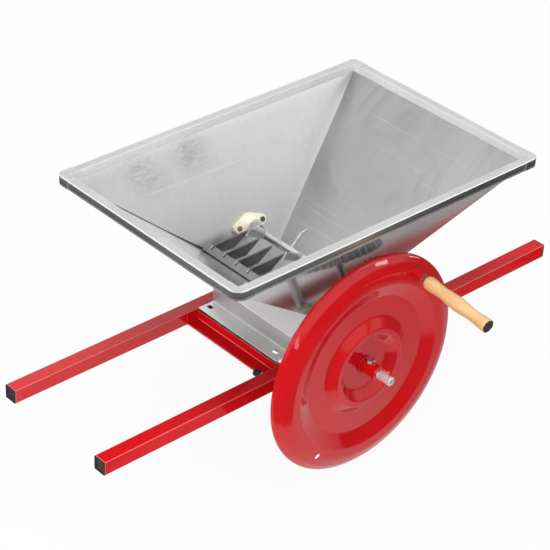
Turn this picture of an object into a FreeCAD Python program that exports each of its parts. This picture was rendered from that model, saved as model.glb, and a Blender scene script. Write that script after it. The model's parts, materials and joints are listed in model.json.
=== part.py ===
import FreeCAD, Part
import math
import os
import re

import Sketcher
from FreeCAD import Placement, Rotation, Vector

# A hand-cranked fruit mill that lies with its two rails across a vat.
# X runs along the rails, -Y faces the flywheel and Z is up.  The origin is midway
# between the rails' undersides, below the middle of the hopper.  Millimetres.

doc = FreeCAD.newDocument("FruitMill")

driving = [
    # frame
    ("railLength", 1204), ("railStart", -609.5), ("railSide", 30), ("railWall", 2), ("railGauge", 282),
    ("plugDepth", 14), ("plugCap", 2.5), ("plugDish", 1.5), ("plugEdge", 4), ("plugGap", 0.15),
    ("angleLeg", 30), ("angleWall", 3), ("leftAngleFace", -150), ("rightAngleFace", 92),
    ("stopPlace", -192), ("stopHeight", 15), ("stopRadius", 4), ("stopKnob", 18),
    ("stopKnobRadius", 8), ("stopPad", 8), ("stopPadRadius", 8.5), ("stopNut", 6.5), ("stopNutAcross", 13),
    # base plates, cheeks and throat plate
    ("plateWall", 3), ("plateShelf", 8), ("plateLip", 5), ("leftRiser", -114), ("ridgeHeight", 73),
    ("slotInset", 17), ("slotEnd", 13), ("slotFront", 25), ("slotLength", 17), ("slotWidth", 10),
    ("cheekWall", 3), ("cheekFoot", -10), ("guideTop", 5), ("guideReach", 25), ("guideLow", 64),
    ("guideWall", 3),
    # hopper
    ("rimLength", 800), ("rimWidth", 540), ("rimSide", 20), ("rimDepth", 18), ("rimWall", 1.5),
    ("rimTop", 374), ("cornerLength", 42), ("cornerRadius", 22), ("cornerProud", 1), ("cornerGap", 0.3),
    ("throatLeft", -70), ("throatRight", 52), ("hopperFoot", 108),
    ("wallSheet", 1.5), ("wallFlange", 12),
    # comb: a bent plate on the left wall, its standing leg uphill, with a row of fins
    ("combPlace", 164.2), ("combHeight", 20), ("combLength", 30), ("combWall", 4), ("combBend", 6),
    ("combGap", 1.2), ("finPitch", 37), ("finWall", 4), ("finFoot", 9), ("finLowX", -72),
    ("finLowZ", 154), ("finTipX", -34), ("finTipZ", 181), ("tenonHeight", 9), ("tenonProud", 1.5),
    # main shaft, rotor and bearings
    ("shaftX", -40), ("shaftZ", 50), ("shaftRadius", 10), ("stubRadius", 9), ("shaftProud", 5.6),
    ("shaftStep", -232), ("shaftFront", -327), ("keyWidth", 6), ("keyDepth", 3), ("keyEnd", -310),
    ("centreHole", 2.5), ("runningFit", 0.06),
    ("drumRadius", 40), ("drumGap", 6), ("knifeReach", 58), ("knifeRoot", 28), ("knifeWall", 4),
    ("knifeTooth", 6), ("knifeTeeth", 17), ("bearingFlange", 6), ("bearingBoss", 4),
    ("bearingRadius", 27), ("bossRadius", 17), ("bearingBoltRing", 22), ("bearingBoltRadius", 2.5),
    ("bearingBoltAcross", 8), ("bearingBoltHead", 3.5), ("collarRadius", 16), ("collarLength", 10),
    ("collarGap", 0.4), ("grubRadius", 2.5), ("grubLength", 4),
    # gears
    ("gearModule", 5), ("pinionTeeth", 13), ("gearTeeth", 36), ("gearFace", 16), ("gearStart", -204),
    ("gearSlack", 0.5), ("gearWeb", 7), ("gearRim", 8), ("gearHubRadius", 22), ("pinionHubRadius", 18),
    ("pinionHubLength", 14),
    # agitator
    ("agitatorX", -3), ("agitatorRadius", 9), ("agitatorRear", 160), ("threadRadius", 7),
    ("gearWasher", 2), ("gearNutLength", 9), ("gearNutAcross", 21), ("threadEnd", 3),
    ("paddleLength", 54), ("paddleHeight", 17), ("paddleWall", 5), ("paddleTilt", 27),
    ("spikeLength", 44), ("spikeTip", 11), ("spikeRadius", 3.8), ("spikeTilt", 42), ("spikeBend", 30),
    ("creamFlange", 8), ("creamRadius", 24), ("creamEnd", 11), ("creamSpan", 31), ("creamBoss", 8),
    ("creamBossRadius", 19), ("creamScrewRadius", 3), ("creamScrewAcross", 10), ("creamScrewHead", 4),
    ("hexAcross", 26), ("hexLength", 16),
    # flywheel and handle
    ("wheelRadius", 239), ("wheelSheet", 2.5), ("wheelFloor", -249), ("wheelRing", -252),
    ("wheelFace", -266), ("wheelShoulder", -258), ("wheelLip", -241), ("shoulderRing", 225),
    ("shoulderCurve", 24), ("landEdge", 205), ("landCurve", 34), ("landRing", 184), ("seamRing", 192),
    ("floorRing", 152), ("coneRing", 108), ("crestRing", 81), ("dishRing", 57), ("hubRadius", 15),
    ("ventRadius", 6.5), ("ventRing", 204), ("ventAngle", 231),
    ("hubEnd", -292), ("hubRingRadius", 19), ("hubRingWall", 4), ("clampPlace", -267),
    ("clampRadius", 5), ("clampAcross", 16), ("clampHead", 7.5), ("handleRing", 208), ("handleAngle", 57.5),
    ("handleLean", 4.3), ("handleBossRadius", 9), ("handleBossLength", 18), ("spindleRadius", 5),
    ("spindleHole", 6), ("spindleNutAcross", 17), ("spindleNutLength", 11), ("spindleTail", 6),
    ("spindleBevel", 1), ("spindleHeadRadius", 8), ("spindleHeadLength", 5),
    ("gripLength", 170), ("gripGap", 0.6), ("gripNeck", 11.2), ("gripBulge", 14.1), ("gripWaist", 12.3),
    ("gripPalm", 14.8), ("gripThroat", 12.1), ("gripFlare", 14.3), ("capRadius", 12.9), ("capDepth", 5),
    ("capProud", 1),
]

# The lean of a hopper wall is its sideways run for one millimetre of height, and a
# sheet's level thickness is what a level cut through the leaning sheet measures.
derived = [
    ("railInner", "(railGauge - railSide) / 2"),
    ("railOuter", "(railGauge + railSide) / 2"),
    ("throatHalf", "railInner - bearingBoss - bearingFlange - cheekWall"),
    ("mouthLength", "rimLength / 2 - rimSide"),
    ("mouthWidth", "rimWidth / 2 - rimSide"),
    ("wallTop", "rimTop - rimDepth"),
    ("wallRise", "wallTop - hopperFoot"),
    ("sideLean", "(mouthWidth - throatHalf) / wallRise"),
    ("leftLean", "(mouthLength + throatLeft) / wallRise"),
    ("rightLean", "(mouthLength - throatRight) / wallRise"),
    ("sideSheet", "wallSheet * sqrt(1 + sideLean * sideLean)"),
    ("leftSheet", "wallSheet * sqrt(1 + leftLean * leftLean)"),
    ("rightSheet", "wallSheet * sqrt(1 + rightLean * rightLean)"),
    ("cheekOuter", "throatHalf + cheekWall"),
    ("plateFront", "-cheekOuter"),
    ("plateRear", "cheekOuter + plateShelf"),
    ("drumHalf", "throatHalf - drumGap"),
    ("shaftRear", "cheekOuter + bearingFlange + bearingBoss + collarGap + collarLength + shaftProud"),
    ("roofLean", "(hopperFoot - ridgeHeight) / (throatLeft - leftSheet - leftRiser)"),
    ("roofDrop", "plateWall * sqrt(1 + roofLean * roofLean)"),
    ("roofHeelZ", "ridgeHeight + roofLean * plateWall - roofDrop"),
    ("roofToeZ", "ridgeHeight + roofLean * (throatLeft - leftRiser) - roofDrop"),
    ("guideLean", "(hopperFoot - guideTop - guideLow) / (throatRight - guideReach)"),
    ("guideDrop", "guideWall * sqrt(1 + guideLean * guideLean)"),
    ("combX", "throatLeft - leftLean * (combPlace - hopperFoot)"),
    ("upRun", "1 / sqrt(1 + leftLean * leftLean)"),
    ("downRun", "leftLean * upRun"),
    ("combHalf", "throatHalf + sideLean * (combPlace - combLength * upRun - hopperFoot) - combGap"),
    ("gearSpan", "gearModule * (pinionTeeth + gearTeeth) / 2"),
    ("agitatorZ", "shaftZ + sqrt(gearSpan * gearSpan - (agitatorX - shaftX) * (agitatorX - shaftX))"),
    ("sideWallY", "throatHalf + sideLean * (agitatorZ - hopperFoot)"),
    ("creamFaceY", "sideWallY - creamFlange * sqrt(1 + sideLean * sideLean)"),
    ("hexStart", "creamFaceY - creamBoss - 0.5"),
    ("gearEnd", "gearStart - gearFace"),
    ("gearRoot", "gearModule * (gearTeeth / 2 - 1.25)"),
    ("agitatorFront", "gearEnd - gearWasher - gearNutLength - threadEnd"),
    ("handleX", "shaftX + handleRing * cos(handleAngle * 1 deg)"),
    ("handleZ", "shaftZ + handleRing * sin(handleAngle * 1 deg)"),
    ("spindleBack", "wheelSheet + spindleNutLength + spindleTail"),
    ("gripStart", "-handleBossLength - spindleNutLength - gripGap"),
    ("gripEnd", "gripStart - gripLength"),
    ("gripSeat", "gripEnd + capDepth + spindleHeadLength + 2"),
]

sheetOf = {}
tableRows = []
nodes = []
along = {
    "X": Rotation(Vector(0, 1, 0), 90),
    "Y": Rotation(Vector(1, 0, 0), -90),
    "-Y": Rotation(Vector(1, 0, 0), 90),
    "Z": Rotation(),
}


def bound(text, home=""):
    """Write each alias in an expression with the sheet that holds it."""
    def qualify(word):
        owner = sheetOf.get(word[0], home)
        return word[0] if owner == home else f"{owner}.{word[0]}"
    return re.sub(r"[A-Za-z]+", qualify, str(text))


def fillSheet(name, rows, sign):
    sheet = doc.addObject("Spreadsheet::Sheet", name)
    for row, (alias, content) in enumerate(rows, start=1):
        sheet.set(f"A{row}", alias)
        sheet.set(f"B{row}", sign + bound(content, name))
        sheet.setAlias(f"B{row}", alias)
        sheetOf[alias] = name
    doc.recompute()


def size(alias):
    return float(getattr(doc.getObject(sheetOf[alias]), alias))


def bind(thing, **lengths):
    for name, text in lengths.items():
        thing.setExpression(name, bound(text))


def put(thing, x, y, z, turn=along["Z"]):
    thing.Placement = Placement(Vector(), turn)
    for axis, text in zip("xyz", (x, y, z)):
        thing.setExpression(f"Placement.Base.{axis}", bound(text))
    return thing


def node(thing, label):
    thing.Label = label
    nodes.append(thing)
    return thing


def block(name, x, y, z):
    """A box between pairs of expressions, one pair for each axis."""
    box = doc.addObject("Part::Box", name)
    bind(box, Length=f"({x[1]}) - ({x[0]})", Width=f"({y[1]}) - ({y[0]})", Height=f"({z[1]}) - ({z[0]})")
    return put(box, x[0], y[0], z[0])


def rod(name, radius, start, end, x, z):
    """A cylinder along Y from start to end."""
    cylinder = doc.addObject("Part::Cylinder", name)
    bind(cylinder, Radius=radius, Height=f"({end}) - ({start})")
    return put(cylinder, x, start, z, along["Y"])


def post(name, radius, x, y, low, high):
    """A cylinder along Z from low to high."""
    cylinder = doc.addObject("Part::Cylinder", name)
    bind(cylinder, Radius=radius, Height=f"({high}) - ({low})")
    return put(cylinder, x, y, low)


def hexBar(name, across, start, end, x, z):
    """A hexagonal bar along Y from start to end."""
    prism = doc.addObject("Part::Prism", name)
    bind(prism, Circumradius=f"({across}) / sqrt(3)", Height=f"({end}) - ({start})")
    return put(prism, x, start, z, along["Y"])


def fused(name, parts):
    result = doc.addObject("Part::MultiFuse", name)
    result.Shapes = parts
    return result


def cutAway(name, base, tools):
    result = doc.addObject("Part::Cut", name)
    result.Base = base
    result.Tool = tools[0] if len(tools) == 1 else fused(f"{name}Tools", tools)
    return result


def common(name, parts):
    result = doc.addObject("Part::MultiCommon", name)
    result.Shapes = parts
    return result


def group(name, parts):
    result = doc.addObject("Part::Compound", name)
    result.Links = parts
    return result


def shaped(name, shape, place=Placement()):
    """An object whose shape is worked out here from the sheet's sizes."""
    feature = doc.addObject("Part::Feature", name)
    feature.Shape = shape
    feature.Placement = place
    return feature


def tabled(points):
    """Put a profile's corners in the sheet of outlines and name their cells."""
    table = doc.getObject("outlines") or doc.addObject("Spreadsheet::Sheet", "outlines")
    cells = []
    for point in points:
        row = len(tableRows) + 1
        tableRows.append(point)
        table.set(f"A{row}", f"={bound(point[0])}")
        table.set(f"B{row}", f"={bound(point[1])}")
        cells.append((f"A{row}", f"B{row}"))
    table.recompute()
    return table, cells


def outline(body, plane, points):
    """A closed sketch through points whose coordinates are expressions."""
    sketch = body.newObject("Sketcher::SketchObject", f"{body.Name}Sketch")
    base = next(item for item in body.Origin.OriginFeatures if item.Role == plane)
    sketch.AttachmentSupport = [(base, "")]
    sketch.MapMode = "FlatFace"
    table, cells = tabled(points)
    values = [[float(table.get(cell)) for cell in pair] for pair in cells]
    corners = [Vector(*value, 0) for value in values]
    for start, end in zip(corners, corners[1:] + corners[:1]):
        sketch.addGeometry(Part.LineSegment(start, end), False)
    for index in range(len(corners)):
        sketch.addConstraint(Sketcher.Constraint("Coincident", index, 2, (index + 1) % len(corners), 1))
    for index, (pair, value) in enumerate(zip(cells, values)):
        for kind, axis, cell, number in zip(("DistanceX", "DistanceY"), (-2, -1), pair, value):
            if number == 0:
                sketch.addConstraint(Sketcher.Constraint("PointOnObject", index, 1, axis))
            else:
                item = sketch.addConstraint(Sketcher.Constraint(kind, -1, 1, index, 1, number))
                sketch.setExpression(f"Constraints[{item}]", f"outlines.{cell}")
    return sketch


def plate(name, points, start, thickness, at=("0", "0")):
    """A body with an upright profile (x, z), from y = start toward -Y."""
    body = doc.addObject("PartDesign::Body", name)
    sketch = outline(body, "XZ_Plane", points)
    pad = body.newObject("PartDesign::Pad", f"{name}Pad")
    pad.Profile = sketch
    pad.setExpression("Length", bound(thickness))
    sketch.Visibility = False
    return put(body, at[0], start, at[1])


def turned(name, points, x, z):
    """A body turned about an axis along Y from a profile (radius, y)."""
    body = doc.addObject("PartDesign::Body", name)
    sketch = outline(body, "XY_Plane", points)
    turn = body.newObject("PartDesign::Revolution", f"{name}Turn")
    turn.Profile = sketch
    turn.ReferenceAxis = (sketch, ["V_Axis"])
    turn.Angle = 360
    sketch.Visibility = False
    return put(body, x, "0", z)


def slab(name, reach, radius, low, high):
    """A level block with rounded corners, half its sides given by reach."""
    x, y = reach
    parts = [
        block(f"{name}Long", (f"-({x})", x), (f"{radius} - ({y})", f"({y}) - {radius}"), (low, high)),
        block(f"{name}Wide", (f"{radius} - ({x})", f"({x}) - {radius}"), (f"-({y})", y), (low, high)),
    ]
    for index, (left, front) in enumerate(((1, 1), (1, -1), (-1, 1), (-1, -1))):
        parts.append(post(f"{name}Corner{index}", radius, f"{left} * (({x}) - {radius})",
                          f"{front} * (({y}) - {radius})", low, high))
    result = fused(name, parts)
    result.Refine = True
    return result


def funnel(name, left, right, side):
    """The hopper's inside, its sloping faces moved outward by level distances."""
    wedge = doc.addObject("Part::Wedge", name)
    bind(wedge, Ymin="hopperFoot", Ymax="wallTop",
         Xmin=f"throatLeft - {left}", Xmax=f"throatRight + {right}",
         Zmin=f"-throatHalf - {side}", Zmax=f"throatHalf + {side}",
         X2min=f"-mouthLength - {left}", X2max=f"mouthLength + {right}",
         Z2min=f"-mouthWidth - {side}", Z2max=f"mouthWidth + {side}")
    wedge.Placement = Placement(Vector(), along["-Y"])
    return wedge


def bolt(name, place, sizes, grip, nutHeight):
    """A hexagon bolt along -Z of its place, its head on the place, and its nut."""
    radius, across, head = sizes
    cap = doc.addObject("Part::Prism", f"{name}Head")
    bind(cap, Circumradius=f"{across} / sqrt(3)", Height=head)
    shank = doc.addObject("Part::Cylinder", f"{name}Shank")
    bind(shank, Radius=radius, Height=f"{grip} + {nutHeight} + 1.5")
    put(shank, "0", "0", f"-({grip}) - {nutHeight} - 1.5")
    nut = doc.addObject("Part::Prism", f"{name}Nut")
    bind(nut, Circumradius=f"{across} / sqrt(3)", Height=nutHeight)
    put(nut, "0", "0", f"-({grip}) - {nutHeight}")
    result = group(name, [fused(f"{name}Bolt", [cap, shank]), cutAway(f"{name}NutRing", nut, [shank])])
    result.Placement = place
    return result


def drill(name, place, radius, depth):
    """A cutter along -Z of a place, from a millimetre above it."""
    cutter = doc.addObject("Part::Cylinder", name)
    bind(cutter, Radius=radius, Height=f"({depth}) + 1")
    put(cutter, "0", "0", f"-({depth})")
    carrier = group(f"{name}Carrier", [cutter])
    carrier.Placement = place
    return carrier


def wallPlace(side):
    """Where the agitator meets a side wall's inner face: X level, Z off the wall."""
    lean = size("sideLean")
    scale = 1 / math.hypot(1, lean)
    normal = Vector(0, -side * scale, lean * scale)
    level = Vector(1, 0, 0)
    turn = Rotation(level, normal.cross(level), normal, "ZXY")
    return Placement(Vector(size("agitatorX"), side * size("sideWallY"), size("agitatorZ")), turn)


def makeRails():
    for label, side in (("front_rail", -1), ("rear_rail", 1)):
        ends = ("railStart", "railStart + railLength")
        near, far = ("-railOuter", "-railInner") if side < 0 else ("railInner", "railOuter")
        tube = cutAway(f"{label}Tube", block(f"{label}Bar", ends, (near, far), ("0", "railSide")), [
            block(f"{label}Bore", (f"{ends[0]} - 1", f"{ends[1]} + 1"),
                  (f"{near} + railWall", f"{far} - railWall"), ("railWall", "railSide - railWall"))])
        if side < 0:
            tube = cutAway(f"{label}Drilled", tube, [
                rod(f"{label}Hole", "stopRadius + 0.1", "-railInner - railWall - 1", "-railInner + 1",
                    "stopPlace", "stopHeight")])
        node(tube, label)


def makePlugs():
    plugs = []
    edge = "(railWall + plugGap)"
    far = "(railStart + railLength)"
    for end, stem, cover, hollow in (
            ("Left", ("railStart", "railStart + plugDepth"), ("railStart - plugCap", "railStart"),
             ("railStart - plugCap - 1", "railStart - plugCap + plugDish")),
            ("Right", (f"{far} - plugDepth", far), (far, f"{far} + plugCap"),
             (f"{far} + plugCap - plugDish", f"{far} + plugCap + 1"))):
        for side, low in (("Front", "-railOuter"), ("Rear", "railInner")):
            name = f"Plug{end}{side}"
            body = fused(f"{name}Body", [
                block(f"{name}Stem", stem, (f"{low} + {edge}", f"{low} + railSide - {edge}"),
                      (edge, f"railSide - {edge}")),
                block(f"{name}Head", cover, (low, f"{low} + railSide"), ("0", "railSide"))])
            plugs.append(cutAway(name, body, [
                block(f"{name}Dish", hollow, (f"{low} + plugEdge", f"{low} + railSide - plugEdge"),
                      ("plugEdge", "railSide - plugEdge"))]))
    node(group("Plugs", plugs), "rail_end_plugs")


def makeAngles():
    width = ("-railInner", "railInner")
    left = fused("LeftAngle", [
        block("LeftAngleLeg", ("leftAngleFace", "leftAngleFace + angleWall"), width, ("0", "angleLeg")),
        block("LeftAngleFoot", ("leftAngleFace - angleLeg", "leftAngleFace"), width, ("0", "angleWall"))])
    right = fused("RightAngle", [
        block("RightAngleLeg", ("rightAngleFace - angleWall", "rightAngleFace"), width, ("0", "angleLeg")),
        block("RightAngleFoot", ("rightAngleFace", "rightAngleFace + angleLeg"), width, ("0", "angleWall"))])
    for angle, label in ((left, "left_cross_angle"), (right, "right_cross_angle")):
        angle.Refine = True
        node(angle, label)


def makeStop():
    node(cutAway("StopPad", rod("StopPadDisc", "stopPadRadius", "-railInner", "-railInner + stopPad",
                                "stopPlace", "stopHeight"),
                 [rod("StopPadBore", "stopRadius + 0.1", "-railInner - 1", "-railInner + stopPad + 1",
                      "stopPlace", "stopHeight")]), "stop_pad")
    stem = rod("StopStem", "stopRadius", "-railInner - railWall - stopNut - 2",
               "-railInner + stopPad + stopKnob", "stopPlace", "stopHeight")
    knob = rod("StopKnob", "stopKnobRadius", "-railInner + stopPad", "-railInner + stopPad + stopKnob",
               "stopPlace", "stopHeight")
    nut = cutAway("StopNut", hexBar("StopNutBar", "stopNutAcross", "-railInner - railWall - stopNut",
                                    "-railInner - railWall", "stopPlace", "stopHeight"), [stem])
    node(group("Stop", [fused("StopBolt", [stem, knob]), nut]), "stop_bolt")


def makeBasePlates():
    lip = "angleLeg - plateLip"
    top = "angleLeg + plateWall"
    left = [("leftAngleFace - plateWall", lip), ("leftAngleFace - plateWall", top), ("leftRiser", top),
            ("leftRiser", "ridgeHeight"), ("throatLeft - leftSheet", "hopperFoot"),
            ("throatLeft", "hopperFoot"), ("throatLeft", "roofToeZ"), ("leftRiser + plateWall", "roofHeelZ"),
            ("leftRiser + plateWall", "angleLeg"), ("leftAngleFace", "angleLeg"), ("leftAngleFace", lip)]
    right = [("rightAngleFace + plateWall", lip), ("rightAngleFace + plateWall", top),
             ("throatRight + plateWall", top), ("throatRight + plateWall", "hopperFoot"),
             ("throatRight", "hopperFoot"), ("throatRight", "angleLeg"), ("rightAngleFace", "angleLeg"),
             ("rightAngleFace", lip)]
    for label, points, slotX in (("left_base_plate", left, "leftAngleFace + slotInset"),
                                 ("right_base_plate", right, "rightAngleFace - slotInset")):
        sheet = plate(f"{label}Sheet", points, "plateRear", "plateRear - plateFront")
        cutters = []
        level = ("angleLeg - 1", f"{top} + 1")
        for end, middle in (("Front", "plateFront + slotFront"), ("Rear", "plateRear - slotEnd")):
            reach = "(slotLength - slotWidth) / 2"
            across = (f"{slotX} - slotWidth / 2", f"{slotX} + slotWidth / 2")
            cutters.append(block(f"{label}Slot{end}", across,
                                 (f"{middle} - {reach}", f"{middle} + {reach}"), level))
            for mark, sign in (("A", "-"), ("B", "+")):
                cutters.append(post(f"{label}Slot{end}{mark}", "slotWidth / 2", slotX,
                                    f"{middle} {sign} {reach}", *level))
        node(cutAway(f"{label}Slotted", sheet, cutters), label)


def bearingPlaces(side):
    """Where the four bolts of a main bearing sit, Z pointing away from the cheek."""
    ring, face = size("bearingBoltRing"), size("cheekOuter") + size("bearingFlange")
    for turn in (45, 135, 225, 315):
        angle = math.radians(turn)
        x, z = size("shaftX") + ring * math.cos(angle), size("shaftZ") + ring * math.sin(angle)
        yield Placement(Vector(x, side * face, z), along["Y"] if side > 0 else along["-Y"])


def makeCheeks():
    points = [("leftRiser + plateWall", "cheekFoot"), ("leftRiser + plateWall", "roofHeelZ"),
              ("throatLeft", "roofToeZ"), ("throatLeft", "hopperFoot"), ("throatRight", "hopperFoot"),
              ("throatRight", "cheekFoot")]
    for label, side, start in (("front_cheek", -1, "-throatHalf"), ("rear_cheek", 1, "cheekOuter")):
        deep = ("-cheekOuter - 1", "-throatHalf + 1") if side < 0 else ("throatHalf - 1", "cheekOuter + 1")
        holes = [rod(f"{label}Bore", "shaftRadius + 3", *deep, "shaftX", "shaftZ")]
        for index, place in enumerate(bearingPlaces(side)):
            holes.append(drill(f"{label}Hole{index}", place, "bearingBoltRadius + 0.1",
                               "bearingFlange + cheekWall + 2"))
        node(cutAway(f"{label}Drilled", plate(f"{label}Sheet", points, start, "cheekWall"), holes), label)


def makeGuide():
    points = [("throatRight", "hopperFoot - guideTop"), ("throatRight", "hopperFoot - guideTop - guideDrop"),
              ("guideReach", "guideLow - guideDrop"), ("guideReach", "guideLow")]
    node(plate("Guide", points, "throatHalf", "2 * throatHalf"), "right_throat_plate")


def screwPlaces(side):
    """Where the two screws of an agitator bearing sit on its flange."""
    for shift in (-1, 1):
        spot = Vector(shift * size("creamSpan"), 0, size("creamFlange"))
        yield wallPlace(side) * Placement(spot, Rotation())


def makeHopper():
    inside = funnel("Inside", "0", "0", "0")
    between = funnel("Between", "leftSheet", "rightSheet", "0")
    outside = funnel("Outside", "leftSheet", "rightSheet", "sideSheet")
    ends = cutAway("EndWalls", between, [inside])
    sides = cutAway("SideWalls", outside, [between])
    level = ("wallTop - wallSheet", "wallTop")
    width, length = "(mouthWidth - wallSheet)", "(mouthLength + wallFlange)"
    tall = ("hopperFoot - 1", "wallTop + 1")
    for label, half, flange in (
            ("hopper_left_wall", ("-rimLength", "-20"), ("-mouthLength - wallFlange", "-mouthLength")),
            ("hopper_right_wall", ("20", "rimLength"), ("mouthLength", "mouthLength + wallFlange"))):
        wall = common(f"{label}Sheet", [ends, block(f"{label}Half", half, ("-rimWidth", "rimWidth"), tall)])
        edge = block(f"{label}Flange", flange, (f"-{width}", width), level)
        node(fused(label, [wall, edge]), label)
    for label, side, half, flange in (
            ("hopper_front_wall", -1, ("-rimWidth", "-20"), ("-mouthWidth - wallFlange", "-mouthWidth")),
            ("hopper_rear_wall", 1, ("20", "rimWidth"), ("mouthWidth", "mouthWidth + wallFlange"))):
        wall = common(f"{label}Sheet", [sides, block(f"{label}Half", ("-rimLength", "rimLength"), half, tall)])
        edge = block(f"{label}Flange", (f"-{length}", length), flange, level)
        middle = f"{side} * sideWallY"
        holes = [rod(f"{label}Hole", "agitatorRadius + 2", f"{middle} - 20", f"{middle} + 20",
                     "agitatorX", "agitatorZ")]
        for index, place in enumerate(screwPlaces(side)):
            holes.append(drill(f"{label}Screw{index}", place, "creamScrewRadius + 0.1",
                               "creamFlange + wallSheet + 2"))
        node(cutAway(label, fused(f"{label}Folded", [wall, edge]), holes), label)
    return inside


def makeRim():
    outer = slab("RimSlab", ("rimLength / 2", "rimWidth / 2"), "cornerRadius", "wallTop", "rimTop")
    deep = ("wallTop - 1", "rimTop - rimWall")
    full, open_ = ("wallTop - 1", "rimTop + 1"), ("-rimLength", "rimLength")
    inset = "rimLength / 2 - cornerRadius - rimWall"
    for label, near, far in (
            ("rim_front", "-rimWidth / 2", "-mouthWidth"), ("rim_rear", "mouthWidth", "rimWidth / 2")):
        strip = common(f"{label}Strip", [outer, block(f"{label}Zone", open_, (near, far), full)])
        node(cutAway(label, strip, [block(f"{label}Hollow", (f"-({inset})", inset),
                                          (f"{near} + rimWall", f"{far} - rimWall"), deep)]), label)
    ends = ("-mouthWidth", "mouthWidth")
    for label, near, far in (
            ("rim_left", "-rimLength / 2", "-mouthLength"), ("rim_right", "mouthLength", "rimLength / 2")):
        strip = block(f"{label}Strip", (near, far), ends, ("wallTop", "rimTop"))
        node(cutAway(label, strip, [block(f"{label}Hollow", (f"{near} + rimWall", f"{far} - rimWall"),
                                          ("-rimWidth", "rimWidth"), deep)]), label)


def makeCorners():
    proud = slab("CornerSkin", ("rimLength / 2 + cornerProud", "rimWidth / 2 + cornerProud"),
                 "(cornerRadius + cornerProud)", "wallTop", "rimTop + cornerProud")
    core = slab("CornerCore", ("rimLength / 2 + cornerGap", "rimWidth / 2 + cornerGap"),
                "(cornerRadius + cornerGap)", "wallTop - 1", "rimTop")
    mouth = block("CornerMouth", ("-mouthLength", "mouthLength"), ("-mouthWidth", "mouthWidth"),
                  ("wallTop - 1", "rimTop + 9"))
    skin = cutAway("CornerShell", proud, [core, mouth])
    caps = []
    for mark, x, y in (("LeftFront", -1, -1), ("LeftRear", -1, 1), ("RightFront", 1, -1), ("RightRear", 1, 1)):
        near, far = "(rimLength / 2 - cornerLength)", "rimLength"
        low, high = "(rimWidth / 2 - cornerLength)", "rimWidth"
        spanX = (near, far) if x > 0 else (f"-{far}", f"-{near}")
        spanY = (low, high) if y > 0 else (f"-{high}", f"-{low}")
        zone = block(f"Cap{mark}Zone", spanX, spanY, ("wallTop", "rimTop + 9"))
        caps.append(common(f"Cap{mark}", [skin, zone]))
    node(group("Caps", caps), "rim_corner_caps")


def combPlace():
    """The comb's foot on the left wall: X down the slope, Z off the wall."""
    turn = Rotation(Vector(0, 1, 0), math.degrees(math.atan2(1, size("leftLean"))))
    return Placement(Vector(size("combX"), 0, size("combPlace")), turn)


def finAt(down, off):
    """The expressions of a point on the comb, down the slope and off the wall."""
    return (f"combX + ({down}) * downRun + ({off}) * upRun",
            f"combPlace - ({down}) * upRun + ({off}) * downRun")


def makeComb():
    width = ("-combHalf", "combHalf")
    middle = ("combBend", "combBend")
    bend = common("CombBendQuarter", [
        cutAway("CombBend", rod("CombBendOuter", "combBend", *width, *middle),
                [rod("CombBendInner", "combBend - combWall", "-combHalf - 1", "combHalf + 1", *middle)]),
        block("CombBendZone", ("0", "combBend"), ("-combHalf - 2", "combHalf + 2"), ("0", "combBend"))])
    bar = fused("CombBar", [
        block("CombStanding", ("0", "combWall"), width, ("combBend", "combHeight")), bend,
        block("CombLying", ("combBend", "combLength"), width, ("0", "combWall"))])
    notches = [block(f"CombNotch{index}", ("-1", "combWall + 1"),
                     (f"{index} * finPitch - finWall / 2 - 0.1", f"{index} * finPitch + finWall / 2 + 0.1"),
                     ("combHeight - tenonHeight", "combHeight + 1")) for index in range(-3, 4)]
    base = group("CombBase", [cutAway("CombNotched", bar, notches)])
    base.Placement = combPlace()
    node(base, "comb_base")
    points = [finAt("-tenonProud", "combHeight"), ("finTipX", "finTipZ"), ("finLowX", "finLowZ"),
              finAt("combBend + finFoot", "combWall"), finAt("combBend", "combWall"),
              finAt("combWall", "combBend"), finAt("combWall", "combHeight - tenonHeight"),
              finAt("-tenonProud", "combHeight - tenonHeight")]
    fins = [plate(f"Fin{index + 4}", points, f"{index} * finPitch + finWall / 2", "finWall")
            for index in range(-3, 4)]
    node(group("Fins", fins), "comb_fins")


def makeMainShaft():
    points = [("0", "shaftRear"), ("shaftRadius - 1", "shaftRear"), ("shaftRadius", "shaftRear - 1"),
              ("shaftRadius", "shaftStep"), ("stubRadius", "shaftStep"), ("stubRadius", "shaftFront + 1.5"),
              ("stubRadius - 1.5", "shaftFront"), ("0", "shaftFront")]
    bar = turned("ShaftBar", points, "shaftX", "shaftZ")
    high = ("shaftZ + stubRadius - keyDepth", "shaftZ + stubRadius + 1")
    cutters = [
        block("KeySlot", ("shaftX - keyWidth / 2", "shaftX + keyWidth / 2"),
              ("keyEnd + keyWidth / 2", "hubEnd + 30"), high),
        post("KeyEnd", "keyWidth / 2", "shaftX", "keyEnd + keyWidth / 2", *high),
        rod("CentreHole", "centreHole", "shaftFront - 1", "shaftFront + 8", "shaftX", "shaftZ")]
    node(cutAway("MainShaft", bar, cutters), "main_shaft")


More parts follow.
